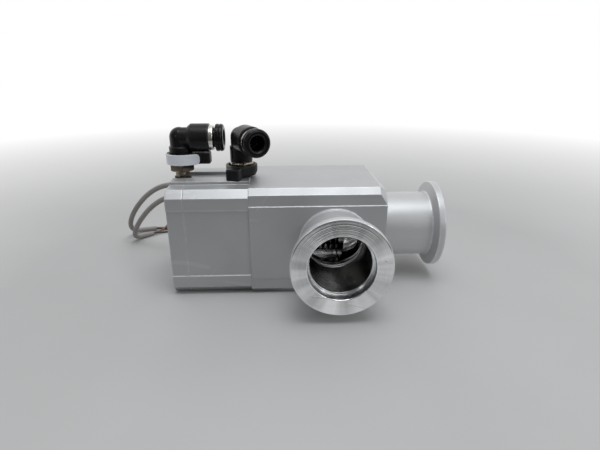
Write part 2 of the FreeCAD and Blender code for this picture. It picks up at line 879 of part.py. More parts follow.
def stud(x):
    """The plated screw-in part of a fitting: thread, shoulder, hexagon and swivel neck."""
    base = fitting_place(x)
    shank_r = port_thread / 2 - thread_gap
    neck_r = stud_neck_diameter / 2
    shoulder_r = stud_shoulder_diameter / 2
    ridge_end = stud_ridge_bottom + stud_ridge_height
    seal_end = swivel_seal_bottom + swivel_seal_width
    bore_r = stud_bore / 2
    core = turned([
        (bore_r, -stud_shank_length), (shank_r, -stud_shank_length), (shank_r, gasket_height),
        (shoulder_r, gasket_height), (shoulder_r, stud_hex_bottom),
        (shoulder_r, stud_hex_top), (neck_r, stud_hex_top), (neck_r, stud_ridge_bottom),
        (stud_ridge_diameter / 2, stud_ridge_bottom), (stud_ridge_diameter / 2, ridge_end),
        (neck_r, ridge_end), (neck_r, swivel_seal_bottom),
        (neck_r - swivel_seal_depth, swivel_seal_bottom), (neck_r - swivel_seal_depth, seal_end),
        (neck_r, seal_end), (neck_r, stud_top), (bore_r, stud_top),
    ], base, Z_AXIS)
    nut = hexagon(stud_hex_flats, stud_hex_bottom, stud_hex_top, base, Z_AXIS, stud_hex_turn)
    corner_r = stud_hex_flats / math.sqrt(3)
    rounding = turned([
        (0, stud_hex_bottom), (corner_r - 0.5, stud_hex_bottom), (corner_r, stud_hex_bottom + 0.3),
        (corner_r, stud_hex_top - 0.3), (corner_r - 0.5, stud_hex_top), (0, stud_hex_top),
    ], base, Z_AXIS)
    nut = nut.common(rounding).cut(rod_shape(shoulder_r, 0, elbow_top, base, Z_AXIS))
    return core.fuse(nut).removeSplitter()


def gasket(x):
    """The sealing washer under a stud."""
    inner = port_thread / 2
    return ring_shape(inner, gasket_diameter / 2, 0, gasket_height, fitting_place(x), Z_AXIS)


def swivel_seal(x):
    """The ring that seals a fitting's swivel."""
    inner = stud_neck_diameter / 2 - swivel_seal_depth
    outer = stud_neck_diameter / 2 + running_gap / 2
    end = swivel_seal_bottom + swivel_seal_width
    return ring_shape(inner, outer, swivel_seal_bottom, end, fitting_place(x), Z_AXIS)


def heading_of(angle):
    """The flat direction at an angle from +X."""
    return Vector(math.cos(math.radians(angle)), math.sin(math.radians(angle)), 0)


def barrel_origin(x):
    """The point on a fitting's swivel axis at the height of its barrel."""
    return fitting_place(x) + Vector(0, 0, barrel_height)


def elbow(x, angle):
    """The moulded elbow: a domed stem on the swivel and a barrel for the tube."""
    base = fitting_place(x)
    start = stud_hex_top + seat_gap
    stem_r = elbow_stem_diameter / 2
    dome_r = elbow_dome_diameter / 2
    dome_start = elbow_top - dome_r
    bow = dome_r * math.sqrt(0.5)
    stem = turned([
        (0, start), (stem_r - 0.3, start), (stem_r, start + 0.3), (stem_r, elbow_stem_top - 0.3),
        (stem_r - 0.3, elbow_stem_top), (dome_r, elbow_stem_top), (dome_r, dome_start),
        (bow, dome_start + bow, 0, elbow_top),
    ], base, Z_AXIS)
    side = barrel_origin(x)
    heading = heading_of(angle)
    barrel_r = barrel_diameter / 2
    barrel = turned([
        (0, 0), (dome_r - 0.4, 0), (dome_r - 0.4, barrel_start), (barrel_r - barrel_shoulder, barrel_start),
        (barrel_r, barrel_start + barrel_shoulder), (barrel_r, barrel_end - 0.2),
        (barrel_r - 0.2, barrel_end), (0, barrel_end),
    ], side, heading)
    neck_r = stud_neck_diameter / 2 + running_gap
    ridge_r = stud_ridge_diameter / 2 + running_gap
    ridge_end = stud_ridge_bottom + stud_ridge_height + running_gap
    passage_r = elbow_passage / 2
    swivel_bore = turned([
        (0, start - 1), (neck_r, start - 1), (neck_r, stud_ridge_bottom - running_gap),
        (ridge_r, stud_ridge_bottom - running_gap), (ridge_r, ridge_end), (neck_r, ridge_end),
        (neck_r, stud_top + seat_gap), (passage_r, stud_top + seat_gap),
        (passage_r, barrel_height), (0, barrel_height),
    ], base, Z_AXIS)
    socket_r = tube_diameter / 2 + tube_socket_gap
    tube_bore = turned([
        (0, -passage_r), (passage_r, -passage_r), (passage_r, tube_stop), (socket_r, tube_stop),
        (socket_r, tube_seal_start), (tube_seal_diameter / 2, tube_seal_start),
        (tube_seal_diameter / 2, tube_seal_end), (guide_sleeve_diameter / 2, tube_seal_end),
        (guide_sleeve_diameter / 2, barrel_end + 1), (0, barrel_end + 1),
    ], side, heading)
    return stem.fuse(barrel).removeSplitter().cut(swivel_bore).cut(tube_bore)


def tube_seal(x, angle):
    """The rubber ring that grips the air tube."""
    inner = tube_diameter / 2 + tube_socket_gap
    outer = tube_seal_diameter / 2
    return ring_shape(inner, outer, tube_seal_start, tube_seal_end, barrel_origin(x), heading_of(angle))


def guide_ring(x, angle):
    """The plated ring pressed into the barrel's mouth."""
    bore_r = guide_bore / 2
    sleeve_r = guide_sleeve_diameter / 2
    outer = guide_diameter / 2
    return turned([
        (bore_r, tube_seal_end), (sleeve_r, tube_seal_end), (sleeve_r, barrel_end), (outer, barrel_end),
        (outer, guide_end - 0.4), (outer - 0.4, guide_end), (bore_r, guide_end),
    ], barrel_origin(x), heading_of(angle))


def collet(x, angle):
    """The slit metal claw ring that bites the tube."""
    inner = collar_bore / 2
    outer = collet_diameter / 2
    root = tube_seal_end + 0.2
    side = barrel_origin(x)
    heading = heading_of(angle)
    claw = turned([
        (inner + 0.4, root), (outer, root), (outer, root + 0.8), (outer - 0.5, collet_end),
        (inner, collet_end), (inner, collet_end - 0.5), (inner + 0.4, collet_end - 0.9),
    ], side, heading)
    for slot_number in range(collet_slots // 2):
        slot = Part.makeBox(
            2 * collet_diameter, collet_slot_width, collet_end - root,
            Vector(-collet_diameter, -collet_slot_width / 2, root + 0.8),
        )
        claw = claw.cut(placed(slot, side, heading, 360 / collet_slots * slot_number))
    return claw


def release_collar(x, angle):
    """The push-in collar that frees the tube."""
    bore_r = collar_bore / 2
    sleeve_r = collar_sleeve_diameter / 2
    outer = collar_diameter / 2
    flange_start = guide_end + release_travel + release_spare
    bend = collar_round * (1 - math.sqrt(0.5))
    return turned([
        (bore_r, collar_sleeve_start), (sleeve_r, collar_sleeve_start), (sleeve_r, flange_start),
        (outer - 0.3, flange_start), (outer, flange_start + 0.3), (outer, collar_end - collar_round),
        (outer - bend, collar_end - bend, outer - collar_round, collar_end),
        (bore_r + collar_mouth, collar_end), (bore_r, collar_end - collar_mouth),
    ], barrel_origin(x), heading_of(angle))


def clip_flanks(radius, half, low, top, base, angle):
    """The filling between a ring and its lug: its two sides leave the ring as tangents."""
    reach = clip_diameter / 2 + clip_flank_length
    turn = math.atan2(half, reach) + math.acos(radius / math.hypot(reach, half))
    touch_x = radius * math.cos(turn)
    touch_y = radius * math.sin(turn)
    corners = [(touch_x, -touch_y), (reach, -half), (reach, half), (touch_x, touch_y), (0, 0)]
    wire = Part.makePolygon([Vector(a, b, low) for a, b in corners + corners[:1]])
    return placed(Part.Face(wire).extrude(Vector(0, 0, top - low)), base, Z_AXIS, angle)


def clip_ring(x, bottom, top, grip_diameter, angle, offset, lug_drop):
    """The loose plastic ring with a lug: a gripping lip above, a wider skirt below."""
    base = fitting_place(x)
    middle = base + heading_of(angle) * offset
    outer = clip_diameter / 2
    grip_r = grip_diameter / 2 + clip_grip_gap
    skirt_r = max(clip_skirt_diameter / 2, grip_r)
    ring = turned([
        (0, bottom), (outer - clip_taper / 2, bottom), (outer, bottom + clip_taper), (outer, top - 0.3),
        (outer - 0.3, top), (0, top),
    ], middle, Z_AXIS)
    low = bottom - lug_drop
    half = clip_lug_width / 2
    cut = clip_lug_edge
    corners = [
        (0, -half), (clip_lug_reach - cut, -half), (clip_lug_reach, cut - half),
        (clip_lug_reach, half - cut), (clip_lug_reach - cut, half), (0, half),
    ]
    wire = Part.makePolygon([Vector(a, b, low) for a, b in corners + corners[:1]])
    lug = placed(Part.Face(wire).extrude(Vector(0, 0, top - low)), base, Z_AXIS, angle)
    lug = lug.cut(rod_shape(outer - clip_taper / 2, low - 1, top + 1, base, Z_AXIS))
    flanks = clip_flanks(outer, half, bottom + clip_taper, top, middle, angle)
    ring = ring.fuse(lug).fuse(flanks).removeSplitter()
    ring = ring.cut(rod_shape(skirt_r, low - 1, top - clip_lip, base, Z_AXIS))
    return ring.cut(rod_shape(grip_r, low - 1, top + 1, base, Z_AXIS))


def marker_band(x, bottom, top, angle, offset):
    """The white band round one clip ring and its flanks, open where the lug stands out."""
    middle = fitting_place(x) + heading_of(angle) * offset
    inner = clip_diameter / 2
    outer = inner + band_thickness
    half = clip_lug_width / 2
    low = bottom - band_drop
    filling = rod_shape(inner, low - 1, top + 1, middle, Z_AXIS)
    filling = filling.fuse(clip_flanks(inner, half, low - 1, top + 1, middle, angle))
    band = rod_shape(outer, low, top, middle, Z_AXIS)
    band = band.fuse(clip_flanks(outer, half + band_thickness, low, top, middle, angle))
    return band.cut(filling)


def fitting_nodes(name, x, angle):
    """All pieces of one elbow fitting, by node name."""
    return {
        name + "_stud": stud(x),
        name + "_gasket": gasket(x),
        name + "_swivel_seal": swivel_seal(x),
        name + "_elbow": elbow(x, angle),
        name + "_tube_seal": tube_seal(x, angle),
        name + "_collet": collet(x, angle),
        name + "_guide_ring": guide_ring(x, angle),
        name + "_release_collar": release_collar(x, angle),
    }


def main():
    """Builds every node and writes one file for each."""
    crossing = Vector(port_axis_x, 0, 0)
    hex_corner = stud_hex_flats * 2 / math.sqrt(3)
    nodes = {
        "valve_body": valve_body(),
        "chamber_flange": flange_stub(body_end_reach, crossing, X_AXIS),
        "side_flange": flange_stub(body_square / 2, crossing, -Y_AXIS),
        "end_cap": end_cap(),
        "cylinder_tube": cylinder_tube(),
        "tie_screws": tie_screws(),
        "rod_cover": rod_cover(),
        "rod_bush": rod_bush(),
        "rod_seal": rod_seal(),
        "rod_cover_seal": rod_cover_seal(),
        "cap_seal": cap_seal(),
        "bonnet_seal": bonnet_seal(),
        "piston_bumper": piston_bumper(),
        "bellows_flange": bellows_flange(),
        "bellows": bellows(),
        "bellows_hub": bellows_hub(),
        "valve_disc": valve_disc(),
        "disc_seal": disc_seal(),
        "rod": rod(),
        "piston": piston(),
        "wear_ring": wear_ring(),
        "magnet_ring": magnet_ring(),
        "piston_seal": piston_seal(),
        "piston_nut": piston_nut(),
        "open_switch": switch_body(switch_high_z, switch_high_tail),
        "closed_switch": switch_body(switch_low_z, switch_low_tail),
        "switch_screws": switch_screws(),
        "open_switch_lead": tube_along(high_lead_route, lead_diameter, "open switch lead"),
        "closed_switch_lead": tube_along(low_lead_route, lead_diameter, "closed switch lead"),
        "lead_cores": lead_cores(),
        "closing_clip_ring": clip_ring(
            closing_port_x, closing_clip_bottom, closing_clip_top, elbow_stem_diameter, 0.0,
            closing_clip_offset, closing_lug_drop,
        ),
        "opening_clip_ring": clip_ring(
            opening_port_x, opening_clip_bottom, opening_clip_bottom + opening_clip_height, hex_corner,
            opening_clip_heading, 0.0, opening_lug_drop,
        ),
        "marker_band": marker_band(
            closing_port_x, closing_clip_bottom, closing_clip_top, 0.0, closing_clip_offset,
        ),
    }
    nodes.update(fitting_nodes("closing", closing_port_x, 0.0))
    nodes.update(fitting_nodes("opening", opening_port_x, opening_elbow_heading))
    os.makedirs("parts", exist_ok=True)
    for name, shape in nodes.items():
        if not shape.isValid():
            print("not valid:", name)
        shape.exportStep("parts/" + name + ".step")
    print(len(nodes), "nodes")


main()
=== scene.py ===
# %% Load the frame
from math import atan2, cos, pi, radians, sin, sqrt

import bmesh
import bpy
import numpy as np
from mathutils import Matrix, Vector
from mathutils.geometry import tessellate_polygon


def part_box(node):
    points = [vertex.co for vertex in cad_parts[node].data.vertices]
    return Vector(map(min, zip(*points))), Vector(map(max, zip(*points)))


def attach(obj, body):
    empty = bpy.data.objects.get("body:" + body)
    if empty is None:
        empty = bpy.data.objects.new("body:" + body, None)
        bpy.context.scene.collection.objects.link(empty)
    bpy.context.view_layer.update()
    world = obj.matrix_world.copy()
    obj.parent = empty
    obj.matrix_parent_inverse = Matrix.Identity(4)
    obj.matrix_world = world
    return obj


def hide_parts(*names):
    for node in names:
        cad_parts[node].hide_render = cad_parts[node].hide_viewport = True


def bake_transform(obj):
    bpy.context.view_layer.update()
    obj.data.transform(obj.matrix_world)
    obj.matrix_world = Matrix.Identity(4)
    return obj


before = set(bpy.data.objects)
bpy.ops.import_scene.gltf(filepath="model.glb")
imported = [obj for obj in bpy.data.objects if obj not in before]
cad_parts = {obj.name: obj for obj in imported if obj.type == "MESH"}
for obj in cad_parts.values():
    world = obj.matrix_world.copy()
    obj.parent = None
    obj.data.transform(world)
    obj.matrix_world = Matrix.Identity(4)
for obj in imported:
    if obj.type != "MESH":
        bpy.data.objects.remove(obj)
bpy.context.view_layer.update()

print("nodes in the frame:", len(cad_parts))

# %% [markdown]
# A vacuum valve is a quiet object: a square aluminium block, two pipe flanges and, on top, two black elbows for
# air hoses. The construction already exists as solids, and this script gives each piece its surface. The frame
# says where everything is, in metres. Most sizes here are thought of in millimetres, so a small helper turns
# a solid's box into millimetres, and one constant takes the finished points back to metres.

# %% Read places from the frame
MM = 0.001
X, Y, Z = np.eye(3)


def box_mm(node):
    """Lowest and highest corner of a solid, in millimetres."""
    return [np.array(corner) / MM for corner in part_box(node)]


def in_scene(name, data):
    """A new object in the scene, with its origin at the frame's."""
    made = bpy.data.objects.new(name, data)
    bpy.context.scene.collection.objects.link(made)
    return made


body_low, body_high = box_mm("valve_body")
side_low, side_high = box_mm("side_flange")
floor_z = body_low[2]
port_x = (side_low[0] + side_high[0]) / 2
crossing = port_x * X
flange_reach = box_mm("chamber_flange")[1][0] - port_x
flange_radius = (side_high[0] - side_low[0]) / 2
print("block from", body_low.round(2), "to", body_high.round(2), "port axis at", round(float(port_x), 2))

# %% [markdown]
# The camera stands where the photograph was taken. Its place and turn were found by fitting the known circles of
# the flanges to the picture, so here they are just a point, three angles and a focal length. The picture is
# 600 points wide, and a lens given for a 36 mm wide film is the focal length in points times 36 / 600. A camera
# that hasn't been turned looks straight down, so its pitch is counted from there.

# %% Place the camera
camera_place = Vector((-71.4, -199.3, 73.5)) * MM
yaw, pitch, roll = radians(2.09), radians(20.33), radians(0.10)
focal_points, picture_width, film_width, near_limit = 441.8, 600, 36.0, 0.01

camera_data = bpy.data.cameras.new("portrait_camera")
camera_data.sensor_width = film_width
camera_data.lens = focal_points / picture_width * film_width
camera_data.clip_start = near_limit
camera = in_scene("portrait_camera", camera_data)
camera.matrix_world = (Matrix.Translation(camera_place) @ Matrix.Rotation(-yaw, 4, "Z")
                       @ Matrix.Rotation(pi / 2 - pitch, 4, "X") @ Matrix.Rotation(-roll, 4, "Z"))
bpy.context.scene.camera = camera
print("lens", round(camera_data.lens, 2), "mm")

# %% [markdown]
# Two thin grey leads come out of the back of the housing, from the switches that feel the piston. They bend
# down to the ground in an easy curve, because the cable is stiffer than its weight, and their bared cores lie on
# the ground. A lead is one smooth spline: its control points are the few places where the solid model's lead
# turns, and a round bevel gives it its thickness.

# %% Lay the leads of the switches
lead_diameter = 2.7
lead_rest = floor_z + lead_diameter / 2
groove_y, high_switch_z, low_switch_z = 21.4, 14.0, 8.5

open_route = np.array([
    (-120.5, groove_y, high_switch_z), (-127.5, 21.7, 14.9), (-135.6, 23.9, 13.1), (-143.8, 27.8, 7.8),
    (-151.4, 33.0, 0.0), (-157.4, 38.6, -8.2), (-161.2, 44.8, -16.0), (-161.2, 51.0, -21.2),
    (-157.4, 56.6, lead_rest), (-150.4, 58.2, lead_rest),
])
closed_route = np.array([
    (-115.5, groove_y, low_switch_z), (-124.4, 21.6, 8.7), (-133.6, 22.5, 7.3), (-142.0, 25.7, 1.5),
    (-149.3, 30.2, -6.4), (-154.8, 34.8, -14.2), (-157.5, 39.2, -20.4), (-155.6, 44.6, lead_rest),
    (-150.2, 50.0, lead_rest),
])


def round_line(name, route, diameter):
    """A smooth round line: a spline of order 3 from end to end of its route, with a round bevel.

    The bevel is a circle of radius 1, and each point of the spline carries the radius that scales it.
    """
    curve = bpy.data.curves.new(name, "CURVE")
    curve.dimensions = "3D"
    curve.resolution_u, curve.bevel_resolution = 12, 5
    curve.bevel_depth = 1.0
    curve.use_fill_caps = True
    spline = curve.splines.new("NURBS")
    spline.points.add(len(route) - 1)
    spline.points.foreach_set("co", np.insert(route * MM, 3, 1.0, axis=1).ravel())
    spline.points.foreach_set("radius", np.full(len(route), diameter / 2 * MM))
    spline.order_u = 3
    spline.use_endpoint_u = True
    line = in_scene(name, curve)
    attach(line, "valve")
    return line


open_lead = round_line("open_switch_cable", open_route, lead_diameter)
closed_lead = round_line("closed_switch_cable", closed_route, lead_diameter)
print("leads:", open_lead.name, closed_lead.name)

# %% [markdown]
# At its end each lead is stripped. Its two cores spread apart and sink from the lead's middle to their own place
# on the ground, in four gentle steps, and their splines smooth the steps out. The length of a lead is measured on
# the spline itself, with its thickness switched off.

# %% Bare the cores and measure the leads
core_diameter = 1.0
core_rest = floor_z + core_diameter / 2


def core_route(route, side, spread, lift):
    """The points of a bared core that leaves a lead's end and bends gently away from its neighbour.

    Each step goes ahead, aside and down to the core's own place on the ground; the last two also rise by the lift.
    """
    end = route[-1]
    heading = (end - route[-2]) / np.linalg.norm(end - route[-2])
    ahead = [0.0, 1.5, 3.0, 4.5, 4.0]
    aside = [0.65, 0.0, 0.3, spread, 1.6 * spread]
    upward = np.array([0.0, 0.0, 0.6, 0.4, 0.0]) * (core_rest - lead_rest) + np.array([0, 0, 0, 0.4, 1.0]) * lift
    steps = np.outer(ahead, heading) + np.outer(aside, np.cross(Z, heading) * side) + np.outer(upward, Z)
    return end + steps.cumsum(axis=0)


def spline_length(line):
    """Length in metres of a line's own smooth centre, read from its spline with no bevel."""
    bare = line.copy()
    bare.data = line.data.copy()
    bare.data.bevel_depth = 0
    mesh = bpy.data.meshes.new_from_object(bare)
    places = np.empty(len(mesh.vertices) * 3)
    mesh.vertices.foreach_get("co", places)
    steps = np.diff(places.reshape(-1, 3), axis=0)
    return float(np.linalg.norm(steps, axis=1).sum())


core_bends = {
    "core_brown_a": (open_route, 1, 1.2, 0.0), "core_black_a": (open_route, -1, 1.6, 0.0),
    "core_brown_b": (closed_route, 1, 1.0, 2.0), "core_black_b": (closed_route, -1, 2.0, 0.0),
}
core_lines = [round_line(name, core_route(*bend), core_diameter) for name, bend in core_bends.items()]
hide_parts("open_switch_lead")
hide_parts("closed_switch_lead")
for core in core_lines:
    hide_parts("lead_cores")
for line, route, cores in ((open_lead, open_route, core_lines[:2]), (closed_lead, closed_route, core_lines[2:])):
    length = spline_length(line)
    print(line.name, "length", round(length / MM, 1), "mm")

# %% [markdown]
# Nearly every other piece is either turned on a lathe or a constant section, so two surfaces do most of the
# work. Both are grids of points worked out in one go. Real edges are never perfectly sharp: a cutter leaves a
# small round, and that round catches a thin line of light. So before an outline is turned or extended, each of
# its corners is rounded, and the points on the round carry an edge value. The materials lighten the colour
# there: partly as wear, and partly as a painted highlight along every edge.

# %% Round the corners of outlines
def unit(vectors):
    """Each vector divided by its own length."""
    return vectors / np.linalg.norm(vectors, axis=-1, keepdims=True)


def full_turn(count):
    """Angles spread evenly round a circle."""
    return np.linspace(0, 2 * pi, count, endpoint=False)


def joined(*parts):
    """Points from one number or array for each coordinate."""
    return np.stack(np.broadcast_arrays(*parts), axis=-1)


def circle(radius, centre, count, hole=False):
    """A round outline, the other way round for a hole, with edge value 0."""
    t = full_turn(count) * (-1 if hole else 1)
    return joined(centre[0] + radius * np.cos(t), centre[1] + radius * np.sin(t)), np.zeros(count)


def rounded(corners, steps=4, radius=0.2, closed=True, beyond=0.3):
    """A flat outline with rounded corners, and the edge value of each of its points.

    A corner is (x, y), or (x, y, radius). With unit directions a and b from a corner c to its neighbours and h half
    the angle between them, the arc of radius r has its centre at c + (a + b) / |a + b| * r / sin h and touches the
    sides r / tan h from c. One more point on each side, a little beyond the arc, keeps the turn of the light next
    to the corner. An open outline keeps its first and last corner as they are.
    """
    corners = np.asarray(corners, float)
    c = corners[:, :2]
    r = corners[:, 2:] if corners.shape[1] > 2 else np.full((len(c), 1), radius)
    ahead = np.roll(c, -1, 0) - c
    a, b = unit(np.roll(c, 1, 0) - c), unit(ahead)
    half = np.arccos(np.clip((a * b).sum(1, keepdims=True), -1, 1)) / 2
    trim = r / np.tan(half)
    centre = c + unit(a + b) * r / np.sin(half)
    first, last = (c + a * trim - centre)[:, None], (c + b * trim - centre)[:, None]
    bend = (pi - 2 * half)[:, None]
    t = np.linspace(0, 1, steps + 1)[:, None]
    arc = centre[:, None] + (first * np.sin((1 - t) * bend) + last * np.sin(t * bend)) / np.sin(bend)
    free = np.linalg.norm(ahead, axis=1, keepdims=True) - trim - np.roll(trim, -1, 0)
    reach = beyond * np.minimum(1, free)
    before, after = c + a * (trim + np.roll(reach, 1, 0)), c + b * (trim + reach)
    points = np.concatenate([before[:, None], arc, after[:, None]], axis=1)
    edge = np.zeros(points.shape[:2])
    edge[:, 1:-1] = 1
    if closed:
        return points.reshape(-1, 2), edge.ravel()
    return (np.vstack([c[:1], points[1:-1].reshape(-1, 2), c[-1:]]),
            np.concatenate([[0], edge[1:-1].ravel(), [0]]))


print("points of a rounded square:", len(rounded([(0, 0), (1, 0), (1, 1), (0, 1)])[0]))

# %% [markdown]
# A bevel modifier could round the edges of a finished mesh, but then no face would know that it lies on a worn
# edge. A grid of points is surer: its rows and columns are known, so its faces follow by counting. A lathe carries
# a profile round an axis, and a saw or an extruder carries an outline along one. The ends of an extended piece are
# flat, so Blender's own triangles fill them, with the holes left open.

# %% Turn and extend outlines
def surface(grid, edge=0.0, smooth=True, finish=0, rows_close=False, columns_close=True):
    """One sheet of points, ready to be joined with others into a piece; finish is one number, or one per row.

    Point (i, j) of the grid has the number i * columns + j, and rows or columns that close go on at their start.
    """
    rows, columns = grid.shape[:2]
    i, j = np.indices((rows - (not rows_close), columns - (not columns_close)))
    i2, j2 = (i + 1) % rows, (j + 1) % columns
    quads = np.stack([i * columns + j, i2 * columns + j, i2 * columns + j2, i * columns + j2], axis=-1)
    return {
        "points": grid.reshape(-1, 3),
        "edge": np.broadcast_to(edge, (rows, columns)).ravel(),
        "faces": quads.reshape(-1, 4).tolist(),
        "smooth": smooth,
        "finish": np.repeat(np.broadcast_to(finish, rows)[:len(i)], i.shape[1]),
    }


def axis_frame(direction):
    """Two unit vectors square to a direction."""
    w = unit(np.asarray(direction, float))
    u = unit(np.cross(Z if abs(w[2]) < 0.9 else X, w))
    return u, np.cross(w, u)


def around(radii, stations, origin, u, v):
    """Rows of points round an axis: at angle t, origin + s w + r(t) (u cos t + v sin t), where w is u x v."""
    t = full_turn(radii.shape[1])[:, None]
    ring = np.cos(t) * u + np.sin(t) * v
    return origin + np.reshape(stations, (-1, 1, 1)) * np.cross(u, v) + radii[..., None] * ring


def turned(profile, origin=(0, 0, 0), direction=X, count=96, finish=0):
    """A lathe-turned sheet from a profile of radius and station.

    A profile that starts and ends on the axis closes at its poles; any other closes on itself.
    """
    points, edge = profile
    radii = np.repeat(points[:, :1], count, axis=1)
    grid = around(radii, points[:, 1], origin, *axis_frame(direction))
    return surface(grid, edge[:, None], finish=finish, rows_close=points[[0, -1], 0].any())


def inset(points, distance):
    """An outline moved inwards, each point along the normal of its neighbours' chord."""
    chord = unit(np.roll(points, -1, 0) - np.roll(points, 1, 0))
    return points - joined(chord[:, 1], -chord[:, 0]) * distance


def extended(outlines, start, end, origin=(0, 0, 0), across=(Y, Z), edge_round=0.2):
    """A constant section between two stations along w, with its end edges rounded.

    The first outline is the outside and the others are holes that run the other way round. At angle t on the end
    round of radius e the outline is moved inwards by e (1 - sin t) and lies e (1 - cos t) from the end.
    """
    u, v = across
    w = np.cross(u, v)
    t = np.linspace(0, pi / 2, 4)
    along = np.append(edge_round * (1 - np.cos(t)), edge_round * 2.5)
    shift = np.append(edge_round * (1 - np.sin(t)), 0.0)
    worn_and_lit = np.array([1, 1, 1, 1, 0])
    stations = np.append(start + along, end - along[::-1])
    shifts, is_round = np.append(shift, shift[::-1]), np.append(worn_and_lit, worn_and_lit[::-1])

    def lifted(flat, station):
        """Points of the section, placed in space."""
        return origin + flat[..., :1] * u + flat[..., 1:] * v + station * w

    moved = [np.stack([inset(points, distance) for distance in shifts]) for points, _ in outlines]
    sheets = [surface(lifted(rows, stations[:, None, None]), np.maximum(edge, is_round[:, None]))
              for rows, (_, edge) in zip(moved, outlines)]
    for row in (0, -1):
        loops = [rows[row] for rows in moved]
        triangles = tessellate_polygon([[Vector((*point, 0)) for point in loop] for loop in loops])
        flat = np.vstack(loops)
        sheets.append({"points": lifted(flat, stations[row]), "edge": np.zeros(len(flat)),
                       "faces": [tuple(triangle) for triangle in triangles], "smooth": False, "finish": 0})
    return sheets


# %% [markdown]
# A real piece is closed all round. So its sheets are welded where their points meet, and its faces are turned to
# look outwards. Then it gets its finishes, rides on the body that carries it, and hides the solid it stands in
# for. From here on, each piece takes one call.

# %% Join sheets into pieces
weld_distance = 2e-6


def piece(name, sheets, body, materials, replaced=None, recalculate=True):
    """Joins sheets into one closed mesh in metres, with its edge values, and hands it to a body of the frame.

    An edge value belongs to a face's corner, so that a flat end keeps its own where it meets a round. A piece that
    crosses a joint gets no body here.
    """
    starts = np.cumsum([0] + [len(sheet["points"]) for sheet in sheets])
    faces, smooth, finish_numbers, worn_and_lit = [], [], [], []
    for start, sheet in zip(starts.tolist(), sheets):
        faces += [tuple(start + index for index in face) for face in sheet["faces"]]
        smooth += [sheet["smooth"]] * len(sheet["faces"])
        finish_numbers += np.broadcast_to(sheet["finish"], len(sheet["faces"])).tolist()
        worn_and_lit.append(sheet["edge"][np.concatenate(sheet["faces"])])
    mesh = bpy.data.meshes.new(name)
    mesh.from_pydata(np.vstack([sheet["points"] for sheet in sheets]) * MM, [], faces)
    mesh.polygons.foreach_set("use_smooth", smooth)
    mesh.polygons.foreach_set("material_index", finish_numbers)
    edge = mesh.attributes.new("edge", "FLOAT", "CORNER")
    edge.data.foreach_set("value", np.concatenate(worn_and_lit).astype(np.float32))
    work = bmesh.new()
    work.from_mesh(mesh)
    bmesh.ops.remove_doubles(work, verts=work.verts, dist=weld_distance)
    if recalculate:
        bmesh.ops.recalc_face_normals(work, faces=work.faces)
    work.to_mesh(mesh)
    work.free()
    for material in materials:
        mesh.materials.append(finishes[material])
    made = in_scene(name, mesh)
    if body:
        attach(made, body)
    if replaced:
        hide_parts(replaced)
    print(name, len(mesh.polygons), "faces")
    return made


# %% [markdown]
# A material is a tree of nodes, and each node made by hand takes several lines. A socket knows the tree it belongs
# to, so short helpers can add a node right where its inputs come from, and nodes read almost like a formula.

# %% Give shader nodes short names
def node(kind, links, **settings):
    """One shader node in the tree of its linked sockets, with its inputs set or linked by name or number."""
    linked = {key: value for key, value in links.items() if isinstance(value, bpy.types.NodeSocket)}
    tree = next(iter(linked.values())).id_data
    made = tree.nodes.new(kind)
    for key, value in settings.items():
        setattr(made, key, value)
    for key, value in links.items():
        if key in linked:
            tree.links.new(value, made.inputs[key])
        else:
            made.inputs[key].default_value = value
    return made


def calculate(operation, first, second=0.0, clamp=False):
    """The result of one arithmetic step on two values or sockets."""
    return node("ShaderNodeMath", {0: first, 1: second}, operation=operation, use_clamp=clamp).outputs[0]


def times(first, second, clamp=False):
    """The product of two values."""
    return calculate("MULTIPLY", first, second, clamp)


def weighted(first, first_weight, second, second_weight, clamp=False):
    """The sum of two values, each times its weight."""
    return calculate("ADD", times(first, first_weight), times(second, second_weight), clamp)


def vector_step(operation, *vectors):
    """The result of one step on vectors: a value for a length or distance, else a vector."""
    made = node("ShaderNodeVectorMath", dict(enumerate(vectors)), operation=operation)
    return made.outputs["Value" if operation in ("LENGTH", "DISTANCE") else "Vector"]


def parts_of(vector):
    """The X, Y and Z of a vector."""
    return node("ShaderNodeSeparateXYZ", {"Vector": vector}).outputs


def ranged(value, low, high, new_low=0.0, new_high=1.0):
    """A value moved from one range to another and held inside it."""
    links = {"Value": value, "From Min": low, "From Max": high, "To Min": new_low, "To Max": new_high}
    return node("ShaderNodeMapRange", links).outputs["Result"]


def between(share, first, second):
    """A colour between two others."""
    return node("ShaderNodeMix", {"Factor": share, 6: first, 7: second}, data_type="RGBA").outputs[2]


def noise(place, scale, detail=2.0, distortion=0.0):
    """Smooth noise at a place, from 0 to 1."""
    links = {"Vector": place, "Scale": scale, "Detail": detail, "Distortion": distortion}
    return node("ShaderNodeTexNoise", links).outputs["Fac"]


def drawn_out(place, length, turn=(0.0, 0.0, 0.0)):
    """A place for patterns that are this many times as long along one direction: X, after a turn."""
    links = {"Vector": place, "Scale": (length, 1.0, 1.0), "Rotation": turn}
    return node("ShaderNodeMapping", links, vector_type="TEXTURE").outputs["Vector"]


# %% [markdown]
# Now the finishes. What different materials share is made once, as a group of shader nodes: the fine grain that
# glass-bead blasting leaves, the rings of a lathe tool, the long lines of an extruded or brushed section, the
# soft unevenness of a moulded surface, and the marks of use. Each group only works out values from the place on
# the object; the shader itself stays in each material.

# %% Make the shared effects
def grain_values(place, fineness):
    """Grain: fine even noise. Patch: slow unevenness, from 0 to 1."""
    return {"Grain": noise(place, fineness, 3.0), "Patch": noise(place, 70.0, 3.0, 0.4)}


def ring_values(place, fineness):
    """Rings: noise that changes only with the distance from the local Z axis and along it. Sweep: noise round it."""
    x, y, z = parts_of(place)
    flat = node("ShaderNodeCombineXYZ", {"X": x, "Y": y}).outputs["Vector"]
    across = node("ShaderNodeCombineXYZ", {"X": vector_step("LENGTH", flat), "Y": z}).outputs["Vector"]
    return {"Rings": noise(across, fineness, 3.0), "Sweep": noise(vector_step("NORMALIZE", flat), 2.2, 2.0, 0.4)}


